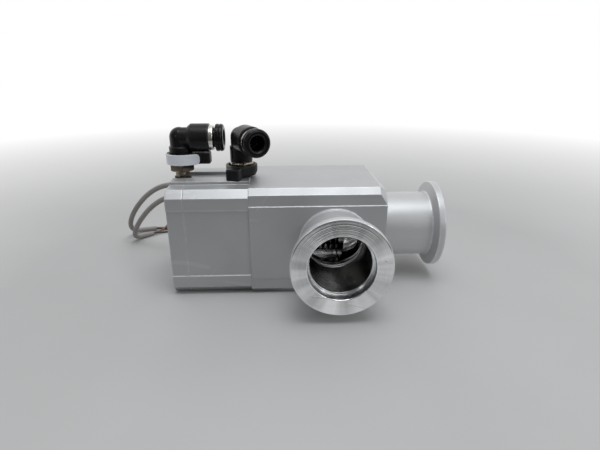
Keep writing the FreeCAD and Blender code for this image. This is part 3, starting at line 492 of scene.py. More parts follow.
def line_values(place):
    """Lines: long lines along X, from noise squeezed many times across the other two directions."""
    return {"Lines": weighted(noise(drawn_out(place, 50.0), 5200.0), 0.6, noise(drawn_out(place, 25.0), 900.0), 0.4)}


def skin_values(place):
    """Skin: the faint dimples of a mould. Gloss: slow change of shine."""
    return {"Skin": noise(place, 2600.0), "Gloss": noise(place, 190.0, 3.0, 0.5)}


def mark_values(place):
    """Edges: lightened, partly as wear and partly as a painted highlight, broken up by noise. Scratch: a few fine
    lines. Smudge: soft prints of hands and dust.
    """
    edge = place.id_data.nodes.new("ShaderNodeAttribute")
    edge.attribute_name = "edge"
    broken = ranged(noise(place, 420.0, 4.0, 0.3), 0.38, 0.62, 0.5, 1.0)
    lines = [ranged(noise(drawn_out(place, 20.0, turn), scale, 1.0), 0.715, 0.735)
             for turn, scale in (((0.0, 0.15, 0.12), 260.0), ((0.0, -0.9, 0.03), 330.0))]
    return {"Rub": times(edge.outputs["Fac"], broken, True), "Scratch": calculate("ADD", *lines, True),
            "Smudge": ranged(noise(place, 38.0, 5.0, 1.2), 0.42, 0.68)}


def shared_effect(name, work_out, **numbers):
    """A group of nodes that reads a place and some numbers, and puts out the values that a function works out."""
    tree = bpy.data.node_groups.new(name, "ShaderNodeTree")
    tree.interface.new_socket("Place", in_out="INPUT", socket_type="NodeSocketVector")
    for label, value in numbers.items():
        tree.interface.new_socket(label, in_out="INPUT", socket_type="NodeSocketFloat").default_value = value
    given = tree.nodes.new("NodeGroupInput").outputs
    values = work_out(*(given[label] for label in ["Place", *numbers]))
    for label in values:
        tree.interface.new_socket(label, in_out="OUTPUT", socket_type="NodeSocketFloat")
    node("NodeGroupOutput", values)
    return tree


blasted_grain = shared_effect("blasted_grain", grain_values, Fineness=4500.0)
tool_rings = shared_effect("tool_rings", ring_values, Fineness=5200.0)
drawn_lines = shared_effect("drawn_lines", line_values)
moulded_skin = shared_effect("moulded_skin", skin_values)
marks_of_use = shared_effect("marks_of_use", mark_values)
print("shared effects:", [tree.name for tree in bpy.data.node_groups])

# %% [markdown]
# A finish is then one shader with its own colour and shine, and small changes to both. Metal is all reflection,
# so its life is in the roughness and in the fine bump. Plastic and rubber keep their own colour and only their
# gloss wanders. The helper below wires the groups to a shader in the same way each time.

# %% Wire one finish
finishes = {}
main_axis, side_axis = ((0, 0, 0), X), (crossing, -Y)
# The second factor is the darker colour's share for finishes with painted sheen; smudges and grain use it there too.
plain_shade, sheen_and_dirt_shade = 0.72, 0.4
grain_tint, dirt_roughness, wear_polish, scratch_depth = 0.12, 0.22, 0.1, 0.6
least_rough, most_rough = 0.05, 0.95
usual_noise = (0.3, 0.7)


def placed_group(group, place, **numbers):
    """The outputs of a group that reads one place in a material."""
    return node("ShaderNodeGroup", {"Place": place, **numbers}, node_tree=group).outputs


def finish(name, colour, worn_and_lit, rough, spread, depth, pattern="grain", metallic=1.0, axis=main_axis, fineness=None,
           smudge=0.25, scratch=0.3, coat=0.0, rub=0.6, mirror=0.5, painted_sheen_sectors=0.0):
    """A material: colour darkened by smudges and lightened at scratches and along edges, where wear and a painted
    highlight lighten it, roughness that wanders, and a fine bump.

    axis is (point in millimetres, direction) for the rings of a turned piece. depth is the bump's in millimetres.
    The last number paints sheen into the colour: darker sectors round the axis, following the slow noise, stand in
    for the light that a freshly turned face catches from its middle outwards.
    """
    made = bpy.data.materials.new(name)
    made.use_nodes = True
    tree = made.node_tree
    shader = tree.nodes["Principled BSDF"].inputs
    place = tree.nodes.new("ShaderNodeTexCoord").outputs["Object"]
    use = placed_group(marks_of_use, place)
    numbers = {"Fineness": fineness} if fineness else {}
    if pattern == "rings":
        turn = Vector(axis[1]).to_track_quat("Z", "Y").inverted().to_euler()
        centred = vector_step("SUBTRACT", place, tuple(np.array(axis[0]) * MM))
        upright = node("ShaderNodeMapping", {"Vector": centred, "Rotation": tuple(turn)}).outputs["Vector"]
        height, slow = placed_group(tool_rings, upright, **numbers)
    elif pattern == "lines":
        height = placed_group(drawn_lines, place)["Lines"]
        slow = placed_group(blasted_grain, place)["Patch"]
    elif pattern == "skin":
        height, slow = placed_group(moulded_skin, place)
    else:
        height, slow = placed_group(blasted_grain, place, **numbers)
    darker = [(sheen_and_dirt_shade if painted_sheen_sectors else plain_shade) * part for part in colour]
    dirty = times(use["Smudge"], smudge)
    grain_and_painted_sheen = ranged(height, *usual_noise, 0.0, grain_tint)
    # Painted sheen: darker sectors of colour round a turned face's axis, where light would catch it unevenly.
    if painted_sheen_sectors:
        grain_and_painted_sheen = calculate("ADD", grain_and_painted_sheen, ranged(slow, 0.35, 0.65, 0.0, painted_sheen_sectors))
    base = between(calculate("ADD", dirty, grain_and_painted_sheen, True), (*colour, 1.0), (*darker, 1.0))
    # Scratches are real marks; the edge lightening is partly wear and partly a painted highlight.
    wear_and_highlight = weighted(use["Rub"], rub, use["Scratch"], scratch, True)
    wander = ranged(slow, *usual_noise, rough - spread, rough + spread)
    marked = calculate("ADD", wander, times(dirty, dirt_roughness))
    smoother = calculate("SUBTRACT", marked, times(wear_and_highlight, wear_polish))
    lifted = calculate("SUBTRACT", height, times(use["Scratch"], scratch_depth))
    bump = node("ShaderNodeBump", {"Strength": 1.0, "Distance": depth * MM, "Height": lifted})
    tree.links.new(between(wear_and_highlight, base, (*worn_and_lit, 1.0)), shader["Base Color"])
    tree.links.new(ranged(smoother, least_rough, most_rough, least_rough, most_rough), shader["Roughness"])
    tree.links.new(bump.outputs["Normal"], shader["Normal"])
    for label, value in (("Metallic", metallic), ("Coat Weight", coat), ("Specular IOR Level", mirror)):
        shader[label].default_value = value
    finishes[name] = made


# %% [markdown]
# Each row below is one finish: its colour, its colour where it is worn or scratched and along its edges, where a
# painted highlight lightens it too, how rough it is and by how much that wanders, and the depth of its bump in
# millimetres. The blasted, the drawn and the flanges' lighter aluminium are about half metallic, because their matt
# skin scatters light as a pale paint would; the flanges' one is the blasted finish made lighter, as painted light.
# The turned port faces carry painted sheen. The black mouldings are written nearly black, or soft light would turn
# them grey.

# %% List the finishes
# Less scratching, and less edge lightening, which is wear and a painted highlight.
calm = {"scratch": 0.15, "rub": 0.4}
rings = {"pattern": "rings"}
# Turned port faces: ring bumps, and painted sheen in sectors of their colour.
turned_rings_and_painted_sheen = dict(rings, fineness=2200.0, painted_sheen_sectors=0.6)
skin = {"pattern": "skin", "metallic": 0.0}
black_skin = dict(skin, scratch=0.10, rub=0.3)
pale = (0.70, 0.71, 0.73)
for *look, more in (
    ("blasted_aluminium", (0.45, 0.455, 0.465), pale, 0.45, 0.03, 0.003, dict(calm, metallic=0.48, smudge=0.10)),
    ("anodised_housing", (0.46, 0.465, 0.475), pale, 0.42, 0.03, 0.002,
     dict(calm, pattern="lines", metallic=0.52, smudge=0.12)),
    # The flanges' outside: the block's blasted aluminium made lighter and less metallic, painted light for the
    # brightness they catch.
    ("satin_flange", (0.53, 0.535, 0.545), (0.74, 0.75, 0.77), 0.42, 0.04, 0.003,
     dict(calm, metallic=0.35, smudge=0.10, rub=0.5)),
    ("turned_chamber_port", (0.84, 0.85, 0.86), pale, 0.17, 0.08, 0.09, turned_rings_and_painted_sheen),
    ("turned_side_port", (0.84, 0.85, 0.86), pale, 0.17, 0.08, 0.09, dict(turned_rings_and_painted_sheen, axis=side_axis)),
    ("turned_room", (0.86, 0.86, 0.86), pale, 0.10, 0.03, 0.0005, dict(rings, fineness=1500.0)),
    ("turned_steel", (0.72, 0.71, 0.69), (0.80, 0.80, 0.78), 0.16, 0.05, 0.002, rings),
    ("bellows_steel", (0.68, 0.67, 0.65), (0.80, 0.79, 0.77), 0.16, 0.05, 0.001, rings),
    ("ground_rod", (0.66, 0.66, 0.67), (0.80, 0.80, 0.80), 0.12, 0.04, 0.001, rings),
    ("turned_piston", (0.62, 0.63, 0.64), pale, 0.28, 0.05, 0.003, rings),
    ("zinc_steel", (0.42, 0.43, 0.45), (0.62, 0.62, 0.62), 0.34, 0.08, 0.003, {}),
    ("sintered_bronze", (0.42, 0.27, 0.12), (0.60, 0.42, 0.22), 0.42, 0.08, 0.006, {"fineness": 3000.0}),
    ("plated_brass", (0.22, 0.185, 0.14), (0.55, 0.49, 0.40), 0.18, 0.07, 0.003, {}),
    ("plated_ring", (0.66, 0.64, 0.60), (0.80, 0.79, 0.77), 0.18, 0.05, 0.001, {}),
    ("spring_steel", (0.50, 0.49, 0.47), (0.70, 0.70, 0.68), 0.30, 0.06, 0.002, {}),
    ("black_rubber", (0.016, 0.016, 0.017), (0.06, 0.06, 0.06), 0.58, 0.08, 0.004, skin),
    ("moulded_magnet", (0.03, 0.03, 0.032), (0.09, 0.09, 0.09), 0.5, 0.07, 0.004, {"metallic": 0.0}),
    ("guide_plastic", (0.58, 0.52, 0.38), (0.72, 0.68, 0.55), 0.4, 0.06, 0.003, skin),
    ("switch_plastic", (0.035, 0.036, 0.04), (0.12, 0.12, 0.12), 0.45, 0.06, 0.004, dict(skin, mirror=0.3)),
    ("lamp_window", (0.30, 0.05, 0.03), (0.40, 0.10, 0.06), 0.15, 0.03, 0.001, dict(skin, coat=0.4)),
    ("grey_jacket", (0.30, 0.285, 0.27), (0.40, 0.39, 0.37), 0.42, 0.07, 0.004, skin),
    ("brown_core", (0.20, 0.09, 0.035), (0.34, 0.18, 0.08), 0.36, 0.05, 0.002, skin),
    ("black_core", (0.02, 0.02, 0.02), (0.07, 0.07, 0.07), 0.36, 0.05, 0.002, skin),
    ("smooth_white", (0.78, 0.81, 0.87), (0.86, 0.88, 0.92), 0.34, 0.06, 0.003, dict(skin, smudge=0.15)),
    ("moulded_black", (0.008, 0.008, 0.009), (0.05, 0.05, 0.055), 0.26, 0.06, 0.004,
     dict(black_skin, smudge=0.4, mirror=0.22)),
    ("collar_black", (0.004, 0.004, 0.005), (0.03, 0.03, 0.033), 0.16, 0.05, 0.002, dict(black_skin, mirror=0.18)),
    ("matt_black", (0.008, 0.008, 0.009), (0.05, 0.05, 0.05), 0.42, 0.07, 0.005, dict(black_skin, mirror=0.2)),
):
    finish(*look, **more)

jackets = ["grey_jacket"] * 2 + ["brown_core", "black_core"] * 2
for line, jacket in zip([open_lead, closed_lead] + core_lines, jackets):
    line.data.materials.append(finishes[jacket])
print("finishes:", len(bpy.data.materials))

# %% [markdown]
# The pieces that stay hidden inside keep the solids of the frame and only take a finish. Their shapes are simple
# and right already, and a finish still matters, because someone may take the valve apart or cut it open.

# %% Dress the hidden solids
hidden_finishes = {
    "turned_piston": ["piston", "rod_cover"],
    "turned_steel": ["bellows_flange", "bellows_hub"],
    "ground_rod": ["rod"],
    "zinc_steel": ["piston_nut", "switch_screws"],
    "sintered_bronze": ["rod_bush"],
    "black_rubber": ["rod_seal", "rod_cover_seal", "cap_seal", "bonnet_seal", "piston_bumper", "piston_seal",
                     "closing_gasket", "opening_gasket", "closing_swivel_seal", "opening_swivel_seal",
                     "closing_tube_seal", "opening_tube_seal"],
    "moulded_magnet": ["magnet_ring"],
    "guide_plastic": ["wear_ring"],
    "spring_steel": ["closing_collet", "opening_collet"],
}
for material, names in hidden_finishes.items():
    for name in names:
        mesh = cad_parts[name].data
        mesh.materials.clear()
        mesh.materials.append(finishes[material])
print("hidden solids dressed:", sum(len(names) for names in hidden_finishes.values()))

# %% [markdown]
# The two ports end in clamp flanges. Each one is turned in a single set-up: a thin rim with a slanted back for the
# clamp, a straight neck, a small round where it meets the block, and a wider mouth for the centring ring. One
# closed profile of radius and station describes all of that, and the lathe surface does the rest.

# %% Turn the two clamp flanges
rim_length, cone_angle, neck_radius, neck_round = 3.0, radians(15.0), 15.0, 1.0
port_bore, mouth_bore, mouth_depth, spigot_length = 12.3, 13.1, 4.5, 1.5


def clamp_flange(name, root, direction, material, replaced):
    """One flange, from its spigot in the block to its sealing face: blasted outside, in a lighter copy of the
    block's aluminium that is painted light, and freshly turned from its rim in, with painted sheen on that face.

    The root is where it leaves the block, counted from the crossing of the two ports.
    """
    spigot, mouth_floor, rim_back = root - spigot_length, flange_reach - mouth_depth, flange_reach - rim_length
    cone_start = rim_back - (flange_radius - neck_radius) * np.tan(cone_angle)
    hollow = 0.3 * neck_round
    corners = [
        (port_bore, spigot, 0.1), (neck_radius, spigot, 0.1), (neck_radius, root, 0.05),
        (neck_radius + neck_round, root, 0.05), (neck_radius + hollow, root + hollow, 0.5),
        (neck_radius, root + neck_round, 0.3), (neck_radius, cone_start, 0.5), (flange_radius, rim_back, 0.35),
        (flange_radius, flange_reach, 0.55), (mouth_bore, flange_reach, 0.45), (mouth_bore, mouth_floor, 0.3),
        (port_bore, mouth_floor, 0.2),
    ]
    profile = rounded(corners, 5)
    rows, face_corner = len(profile[0]), 8
    machined = np.arange(rows) >= rows / len(corners) * (face_corner + 0.5)
    sheet = turned(profile, crossing, direction, 192, machined.astype(int))
    piece(name, [sheet], "valve", ["satin_flange", material], replaced)


clamp_flange("chamber_clamp_flange", body_high[0] - port_x, X, "turned_chamber_port", "chamber_flange")
clamp_flange("side_clamp_flange", body_high[1], -Y, "turned_side_port", "side_flange")

# %% [markdown]
# The block is a square bar with flat corners and a panel that stands proud of its front by the depth of one
# cut. Its chamber end was turned, so the square's corners run out in a cone. Along the bar the surface is the
# section carried straight on, until each line of it meets the cone and turns in towards the port. The front panel
# has a round hole, so it is a sheet of its own: rings of points that change from the circle into the panel's
# outline.

# %% Cut the block
panel_half, panel_step, block_cut, block_round = 16.6, 0.4, 3.0, 0.25
cone_radius, recess_radius, least_cut, tiny = 28.8, 21.0, 0.15, 1e-6
# The last of these is the edge value of the turned end's rows, which lightens them as wear and as a painted
# highlight.
per_side, ring_count, crowding, end_edge_wear_and_highlight = 48, 12, 1.4, 0.8
start_x, end_x, half = body_low[0], body_high[0], body_high[2]
flat_from, sunk = half - block_cut, half - panel_step

upper_half = [(-half, panel_half), (-sunk, panel_half), (-sunk, flat_from + panel_step), (-flat_from, half),
              (flat_from, half), (half, flat_from)]
section, section_edge = rounded([(y, -z) for y, z in upper_half] + upper_half[::-1], 3, block_round)
reach = np.linalg.norm(section, axis=1)


def cone_station(radius):
    """Where a line of the bar at this distance from the axis meets the turned end."""
    return end_x - np.maximum(radius - cone_radius, least_cut)


def block_row(x, radius):
    """The section at one station, with each of its points moved in to a distance from the axis."""
    y, z = (section * (radius / reach)[:, None]).T
    return joined(x, y, z)


def rectangle(low, high):
    """Points round a rectangle, counter-clockwise from its right side's middle, evenly spread on each side."""
    (x0, y0), (x1, y1) = low, high
    middle = (x1, (y0 + y1) / 2)
    corners = np.array([middle, (x1, y1), (x0, y1), (x0, y0), (x1, y0), middle])
    counts = [per_side // 2, per_side, per_side, per_side, per_side // 2]
    return np.vstack([np.linspace(a, b, n, endpoint=False) for a, b, n in zip(corners[:-1], corners[1:], counts)])


def rings_between(outer, inner):
    """Rings of points that change from an inner outline into an outer one with as many points: their X and Y."""
    t = np.linspace(0, 1, ring_count)[:, None, None] ** crowding
    return np.moveaxis(inner * (1 - t) + outer * t, -1, 0)


cone_row = block_row(cone_station(reach), reach)
bar_start = block_row(start_x, reach - least_cut)
bar_end = block_row(end_x, reach - np.maximum(reach - cone_radius, least_cut))
sides = surface(np.stack([bar_start, block_row(start_x + least_cut, reach), cone_row]), section_edge, smooth=False)
on_panel = (section[:, 0] < -half + tiny) & (np.abs(section[:, 1]) < panel_half - block_round + 0.01)
opening = len(section) + np.flatnonzero(on_panel & np.roll(on_panel, -1))
sides["faces"] = [face for face in sides["faces"] if face[0] not in opening]
sides["finish"] = 0
# The cone's rows are lightened at the edge: wear and a painted highlight.
turned_end = surface(np.stack([cone_row, bar_end, block_row(end_x, neck_radius)]),
                     np.array([end_edge_wear_and_highlight, end_edge_wear_and_highlight, 0])[:, None], smooth=False)
left_end = surface(np.stack([block_row(start_x, recess_radius), bar_start]), smooth=False)

panel_edge = rectangle((start_x + least_cut, block_round - panel_half), (end_x, panel_half - block_round))
on_right = panel_edge[:, 0] > end_x - tiny
panel_edge[on_right, 0] = cone_station(np.hypot(half, panel_edge[on_right, 1]))
turn = np.arctan2(panel_edge[:, 1], panel_edge[:, 0] - port_x)
x, z = rings_between(panel_edge, joined(port_x + neck_radius * np.cos(turn), neck_radius * np.sin(turn)))
panel = surface(joined(x, -half, z), smooth=False)
print("points round the block:", len(section), "and round its front panel:", len(panel_edge))

# %% [markdown]
# Through the ports one looks into the block, so the chamber is part of its surface. The side bore breaks through
# the chamber's round wall: again rings of points change from a circle into an outline, only wrapped round a
# cylinder. The seat towards the chamber port and the recess at the other end are plain turned steps. At last each
# sheet is faced away from the metal: outwards on the block, and towards the axis inside it.

# %% Hollow the block
room_radius, room_start, seat_x, lead_cut = 18.0, -79.5, -31.5, 0.5
spigot_y = spigot_length - half
quarter = pi / 2


def on_cylinder(x, radius, angle):
    """Points on a cylinder round the main axis; the angle is counted upwards from the front."""
    return joined(x, -radius * np.cos(angle), radius * np.sin(angle))


def open_turned(corners):
    """A turned sheet with plain corners, open at both ends of its profile."""
    points = np.array(corners)
    grid = on_cylinder(points[:, 1:], points[:, :1], np.linspace(0, 2 * pi, 4 * per_side + 1))
    return surface(grid, smooth=False, finish=1, columns_close=False)


def facing(sheet, axis, point, outward=False):
    """The sheet with its faces turned to look at the line through a point along an axis, or away from it."""
    a, b, c = (sheet["points"][[face[k] for face in sheet["faces"]]] for k in range(3))
    agree = ((a - a * axis - point) * np.cross(b - a, c - a)).sum()
    if (agree > 0) != outward:
        sheet["faces"] = [face[::-1] for face in sheet["faces"]]
    return sheet


room_edge = rectangle((room_start, -quarter), (seat_x, quarter))
turn = np.arctan2(room_edge[:, 1] * room_radius, room_edge[:, 0] - port_x)
mouth_z = port_bore * np.sin(turn)
x, angle = rings_between(room_edge, joined(port_x + port_bore * np.cos(turn), np.arcsin(mouth_z / room_radius)))
near_room = surface(on_cylinder(x, room_radius, angle), finish=1)
far_x = np.linspace(room_start, seat_x, per_side + 1)[:, None]
far_angle = np.linspace(quarter, 3 * quarter, 2 * per_side + 1)
far_room = surface(on_cylinder(far_x, room_radius, far_angle), finish=1, columns_close=False)
hole_wall, spigot_floor = (
    np.stack([joined(port_x + radius * np.cos(turn), y, radius * np.sin(turn)) for radius, y in ends])
    for ends in (((port_bore, spigot_y), (port_bore, -np.sqrt(room_radius ** 2 - mouth_z ** 2))),
                 ((neck_radius, -half), (neck_radius, spigot_y), (port_bore, spigot_y))))
seat_wall = open_turned([(room_radius, seat_x), (port_bore + lead_cut, seat_x), (port_bore, seat_x + lead_cut),
                         (port_bore, end_x - spigot_length), (neck_radius, end_x - spigot_length),
                         (neck_radius, end_x)])
recess_wall = open_turned([(recess_radius, start_x), (recess_radius, room_start), (room_radius, room_start)])

block_middle = (start_x + end_x) / 2 * X
block_sheets = [
    facing(sides, X, 0, True), facing(panel, X, 0, True), facing(turned_end, 0, block_middle, True),
    facing(left_end, 0, block_middle, True), facing(near_room, X, 0), facing(far_room, X, 0),
    facing(surface(hole_wall, finish=1), Y, crossing),
    facing(surface(spigot_floor, smooth=False, finish=1), Y, crossing), facing(seat_wall, X, 0),
    facing(recess_wall, X, 0),
]
piece("machined_block", block_sheets, "valve", ["blasted_aluminium", "turned_room"], "valve_body", recalculate=False)

# %% [markdown]
# The air cylinder behind the block is a cut length of a drawn profile, and the end cap continues its section. The
# front is slightly sunk, two rails run along the top on either side of the fittings, and two keyhole grooves in
# the back hold the switches. So the section is one outline, and both pieces are that outline, extended.

# %% Draw the housing and its end cap
bonnet_half, bonnet_cut, recess_half, recess_step = 23.5, 3.2, 15.0, 0.5
rail_inner, rail_outer, rail_height = 5.5, 13.0, 1.4
groove_radius, groove_mouth, groove_round = 2.1, 3.0, 0.04
screw_offset, head_radius, head_hole = 18.5, 2.75, 2.95


def groove_points(z, top, play=0.0, lip_round=groove_round):
    """Corners and arc of a keyhole in the back face, from its upper lip round to its lower lip."""
    radius, lip_z = groove_radius - play, groove_mouth / 2 - play
    lip = np.arcsin(lip_z / radius)
    t = np.linspace(lip, 2 * pi - lip, 28)
    arc = joined(groove_y + radius * np.cos(t), z + radius * np.sin(t), groove_round)
    return [(top, z + lip_z, lip_round)] + arc.tolist() + [(top, z - lip_z, lip_round)]


def bonnet_section():
    """The housing's outline in Y and Z, counter-clockwise, with small rounds on its plain corners."""
    h, c, sunk, rail = bonnet_half, bonnet_half - bonnet_cut, bonnet_half - recess_step, bonnet_half + rail_height
    front = [(-h, c), (-h, recess_half), (-sunk, recess_half), (-sunk, -recess_half), (-h, -recess_half), (-h, -c),
             (-c, -h), (c, -h), (h, -c)]
    top = [(h, c), (c, h), (rail_outer, h), (rail_outer, rail), (rail_inner, rail), (rail_inner, h),
           (-rail_inner, h), (-rail_inner, rail), (-rail_outer, rail), (-rail_outer, h), (-c, h)]
    front, top = ([(y, z, 0.2) for y, z in corners] for corners in (front, top))
    return rounded(front + groove_points(low_switch_z, h)[::-1] + groove_points(high_switch_z, h)[::-1] + top, 3)


screw_places = [(y, z) for y in (-screw_offset, screw_offset) for z in (-screw_offset, screw_offset)]
bonnet = bonnet_section()
holes = [circle(head_hole, place, 48, True) for place in screw_places]
for name, outlines, replaced in (("drawn_housing", [bonnet], "cylinder_tube"),
                                 ("milled_end_cap", [bonnet] + holes, "end_cap")):
    low, high = box_mm(replaced)
    piece(name, extended(outlines, low[0], high[0]), "valve", ["anodised_housing"], replaced)

# %% [markdown]
# Four long screws clamp the cap and the cylinder to the block. Only their socket heads show, sunk in the cap. A
# head is a turned shape whose middle is not round: for those rows of points the radius follows a hexagon, the
# distance from the centre to a flat divided by the cosine of the angle from that flat's middle.

# %% Make the socket head screws
head_height, socket_flats, socket_depth, shank_radius, head_round = 3.0, 2.5, 1.5, 1.5, 0.45


def hexagon_radius(angle, flats):
    """Distance from the middle to the side of a hexagon in the direction of an angle."""
    from_flat = (angle + pi / 6) % (pi / 3) - pi / 6
    return flats / 2 / np.cos(from_flat)


def screw_sheet(y, z):
    """A socket head screw: rows of points from the socket's floor, over the head, to the end of its shank.

    A row is a radius, how far it lies below the head's top, and its edge value.
    """
    hexagon = hexagon_radius(full_turn(72), socket_flats)
    rows = [
        (0, socket_depth * 1.25, 0), (hexagon * 0.5, socket_depth * 1.1, 0), (hexagon, socket_depth, 0),
        (hexagon, 0.15, 1), (hexagon + 0.15, 0, 1), (head_radius - head_round, 0, 0.6),
        (head_radius - 0.13, 0.13, 1), (head_radius, head_round, 1), (head_radius, head_height, 0),
        (shank_radius, head_height, 0), (shank_radius, screw_length, 0), (0, screw_length, 0),
    ]
    radii = np.stack([np.broadcast_to(row[0], hexagon.shape) for row in rows])
    depths, edge = np.array([row[1:] for row in rows]).T
    grid = around(radii, -screw_low[0] - depths, (0, y, z), *axis_frame(-X))
    return surface(grid, edge[:, None], smooth=False)


screw_low, screw_high = box_mm("tie_screws")
screw_length = screw_high[0] - screw_low[0]
piece("socket_head_screws", [screw_sheet(*place) for place in screw_places], "valve", ["zinc_steel"], "tie_screws")

# %% [markdown]
# Behind the side port, the valve's working parts show: a steel disc with a rubber ring let into its face, and the
# bellows, a folded steel sleeve that lets the disc move and keeps the air out. The bellows is a turned surface
# whose radius swings between two limits along its length; an arcsine of a slightly shortened sine gives straight
# flanks with round crests. Its left end is welded to the housing and its right end to the disc, so it is given no
# body of its own here and stays where the frame has it.

# %% Form the bellows, the disc and its ring
bellows_low, bellows_high = box_mm("bellows")
disc_low, disc_high = box_mm("valve_disc")
ring_low, ring_high = box_mm("disc_seal")
# Crests beyond the last of these get an edge value, lightened as wear and as a painted highlight.
fold_count, points_per_fold, straightness, wall, lit_worn_crest = 12, 18, 0.97, 0.35, -0.8
crest, root = bellows_high[1], 9.2
dish_radius, dish_depth, groove_depth, groove_top, groove_floor = 10.0, 0.4, 2.3, 1.12, 2.0


def bellows_profile():
    """Outer and inner radius along the sleeve: middle - swing * arcsin(s cos(phase)) / arcsin(s), with s near 1."""
    phase = np.linspace(0, 2 * pi * fold_count, fold_count * points_per_fold + 1)
    wave = np.arcsin(straightness * np.cos(phase)) / np.arcsin(straightness)
    radius = (crest + root) / 2 - (crest - root) / 2 * wave
    station = np.linspace(bellows_low[0], bellows_high[0], len(phase))
    points = np.vstack([joined(radius, station), joined(radius - wall, station)[::-1]])
    return points, np.append(wave < lit_worn_crest, np.zeros(len(phase))).astype(float)


sleeve = piece("folded_bellows", [turned(bellows_profile(), count=128)], None, ["bellows_steel"], "bellows")
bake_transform(sleeve)

disc_radius, ring_radius = disc_high[1], (ring_high[0] - ring_low[0]) / 2
ring_middle, disc_face = ring_high[1] - ring_radius, disc_high[0]
disc_profile = rounded([
    (0, disc_low[0], 0), (disc_radius, disc_low[0], 0.5), (disc_radius, disc_face, 0.3),
    (ring_middle + groove_top, disc_face, 0.12), (ring_middle + groove_floor, disc_face - groove_depth, 0.2),
    (ring_middle - groove_floor, disc_face - groove_depth, 0.2), (ring_middle - groove_top, disc_face, 0.12),
    (dish_radius, disc_face, 0.12), (dish_radius, disc_face - dish_depth, 0.15), (0, disc_face - dish_depth, 0),
], 5, closed=False)
ring_profile = circle(ring_radius, (ring_middle, (ring_low[0] + ring_high[0]) / 2), 24)
piece("steel_disc", [turned(disc_profile, count=160)], "poppet", ["turned_steel"], "valve_disc")
piece("disc_ring", [turned(ring_profile, count=160)], "poppet", ["black_rubber"], "disc_seal")

# %% [markdown]
# Each air fitting is a plated brass stud with a black elbow that swivels on it. The elbow is moulded: an upright
# stem with a domed top, and a barrel for the hose. At the barrel's mouth sit a bright ring and the collar that
# is pushed in to let the hose go. All of it is turned, so the fitting is described once, from the point where it
# is screwed in, and made twice with another heading.

# %% Draw the elbow, its ring and its collar
stem_radius, stem_bore, stem_bore_end, dome_radius = 5.0, 3.46, 14.0, 4.4
elbow_bottom, elbow_step, elbow_top = 7.7, 14.7, 23.0
barrel_height, barrel_radius, barrel_start, barrel_end, barrel_floor = 18.25, 6.2, 4.0, 13.3, 0.6
hose_radius, hose_stop, seal_end, mouth_radius = 3.05, 4.6, 8.9, 5.0
guide_inner, guide_radius, guide_end = 4.4, 5.45, 15.3
collar_start, collar_end, collar_radius, collar_bore = 16.2, 19.7, 6.0, 3.15
sleeve_radius, sleeve_start, finger_depth, finger_half = 4.25, 12.2, 0.3, 0.35


def stem_profile():
    """The upright part of the elbow: a stem, a step, and a dome that is a quarter circle."""
    lower, edge = rounded([
        (stem_bore, elbow_bottom, 0), (stem_radius, elbow_bottom, 0.2), (stem_radius, elbow_step, 0.35),
        (dome_radius, elbow_step, 0.1), (dome_radius, elbow_top - dome_radius, 0),
    ], closed=False)
    t = np.linspace(0, pi / 2, 14)[1:]
    dome = joined(dome_radius * np.cos(t), elbow_top - dome_radius * (1 - np.sin(t)))
    dome[-1, 0] = 0
    points = np.vstack([[(0, stem_bore_end), (stem_bore, stem_bore_end)], lower, dome])
    return points, np.concatenate([[0, 0], edge, np.zeros(len(dome))])


def barrel_profile():
    """The hose end of the elbow, with its blind bore."""
    neck = elbow_top - barrel_height - 0.15
    return rounded([
        (0, barrel_floor, 0), (neck, barrel_floor, 0.1), (neck, barrel_start - 0.3, 0.2),
        (barrel_radius - 1.0, barrel_start, 0.4), (barrel_radius, barrel_start + 1.3, 0.5),
        (barrel_radius, barrel_end, 0.3), (mouth_radius, barrel_end, 0.1), (mouth_radius, seal_end, 0.1),
        (hose_radius, seal_end, 0.1), (hose_radius, hose_stop, 0.1), (0, hose_stop, 0),
    ], closed=False)


def guide_profile():
    """The plated ring at the barrel's mouth."""
    return rounded([
        (guide_inner, seal_end, 0.05), (mouth_radius, seal_end, 0.05), (mouth_radius, barrel_end, 0.05),
        (guide_radius, barrel_end, 0.12), (guide_radius, guide_end, 0.4), (guide_inner, guide_end, 0.15),
    ])


def collar_profile():
    """The release collar: a sleeve, and a flange with a finger groove and a full round lip."""
    groove = (collar_start + collar_end) / 2 - 0.1
    return rounded([
        (collar_bore, sleeve_start, 0.1), (sleeve_radius, sleeve_start, 0.1), (sleeve_radius, collar_start, 0.1),
        (collar_radius, collar_start, 0.4), (collar_radius, groove - finger_half, 0.15),
        (collar_radius - finger_depth, groove, 0.15), (collar_radius, groove + finger_half, 0.15),
        (collar_radius, collar_end, 1.1), (collar_bore, collar_end, 1.0),
    ], 5)


print("top of the elbow above the housing:", elbow_top, "mm")

# %% [markdown]
# The stud is turned brass: a thread below, a hexagon for the spanner, and a stalk on which the elbow swivels. The
# hexagon's corners are cut off by a cone at both ends, so each row of its points takes the smaller of two
# distances, to the hexagon's flat and to the cone.

# %% Turn the stud
stud_flats, hex_bottom, hex_top, hex_turn, hex_cut = 10.2, 3.8, 7.4, radians(44.0), 0.45
hexagon_reach = stud_flats / sqrt(3)
thread_radius, thread_start, thread_end = 2.45, -4.0, 1.0
shoulder_radius, stud_bore, stalk_radius, stalk_end = 3.1, 1.3, 3.4, 13.2
collar_ring_radius, collar_ring_start, collar_ring_end = 3.75, 8.8, 9.6


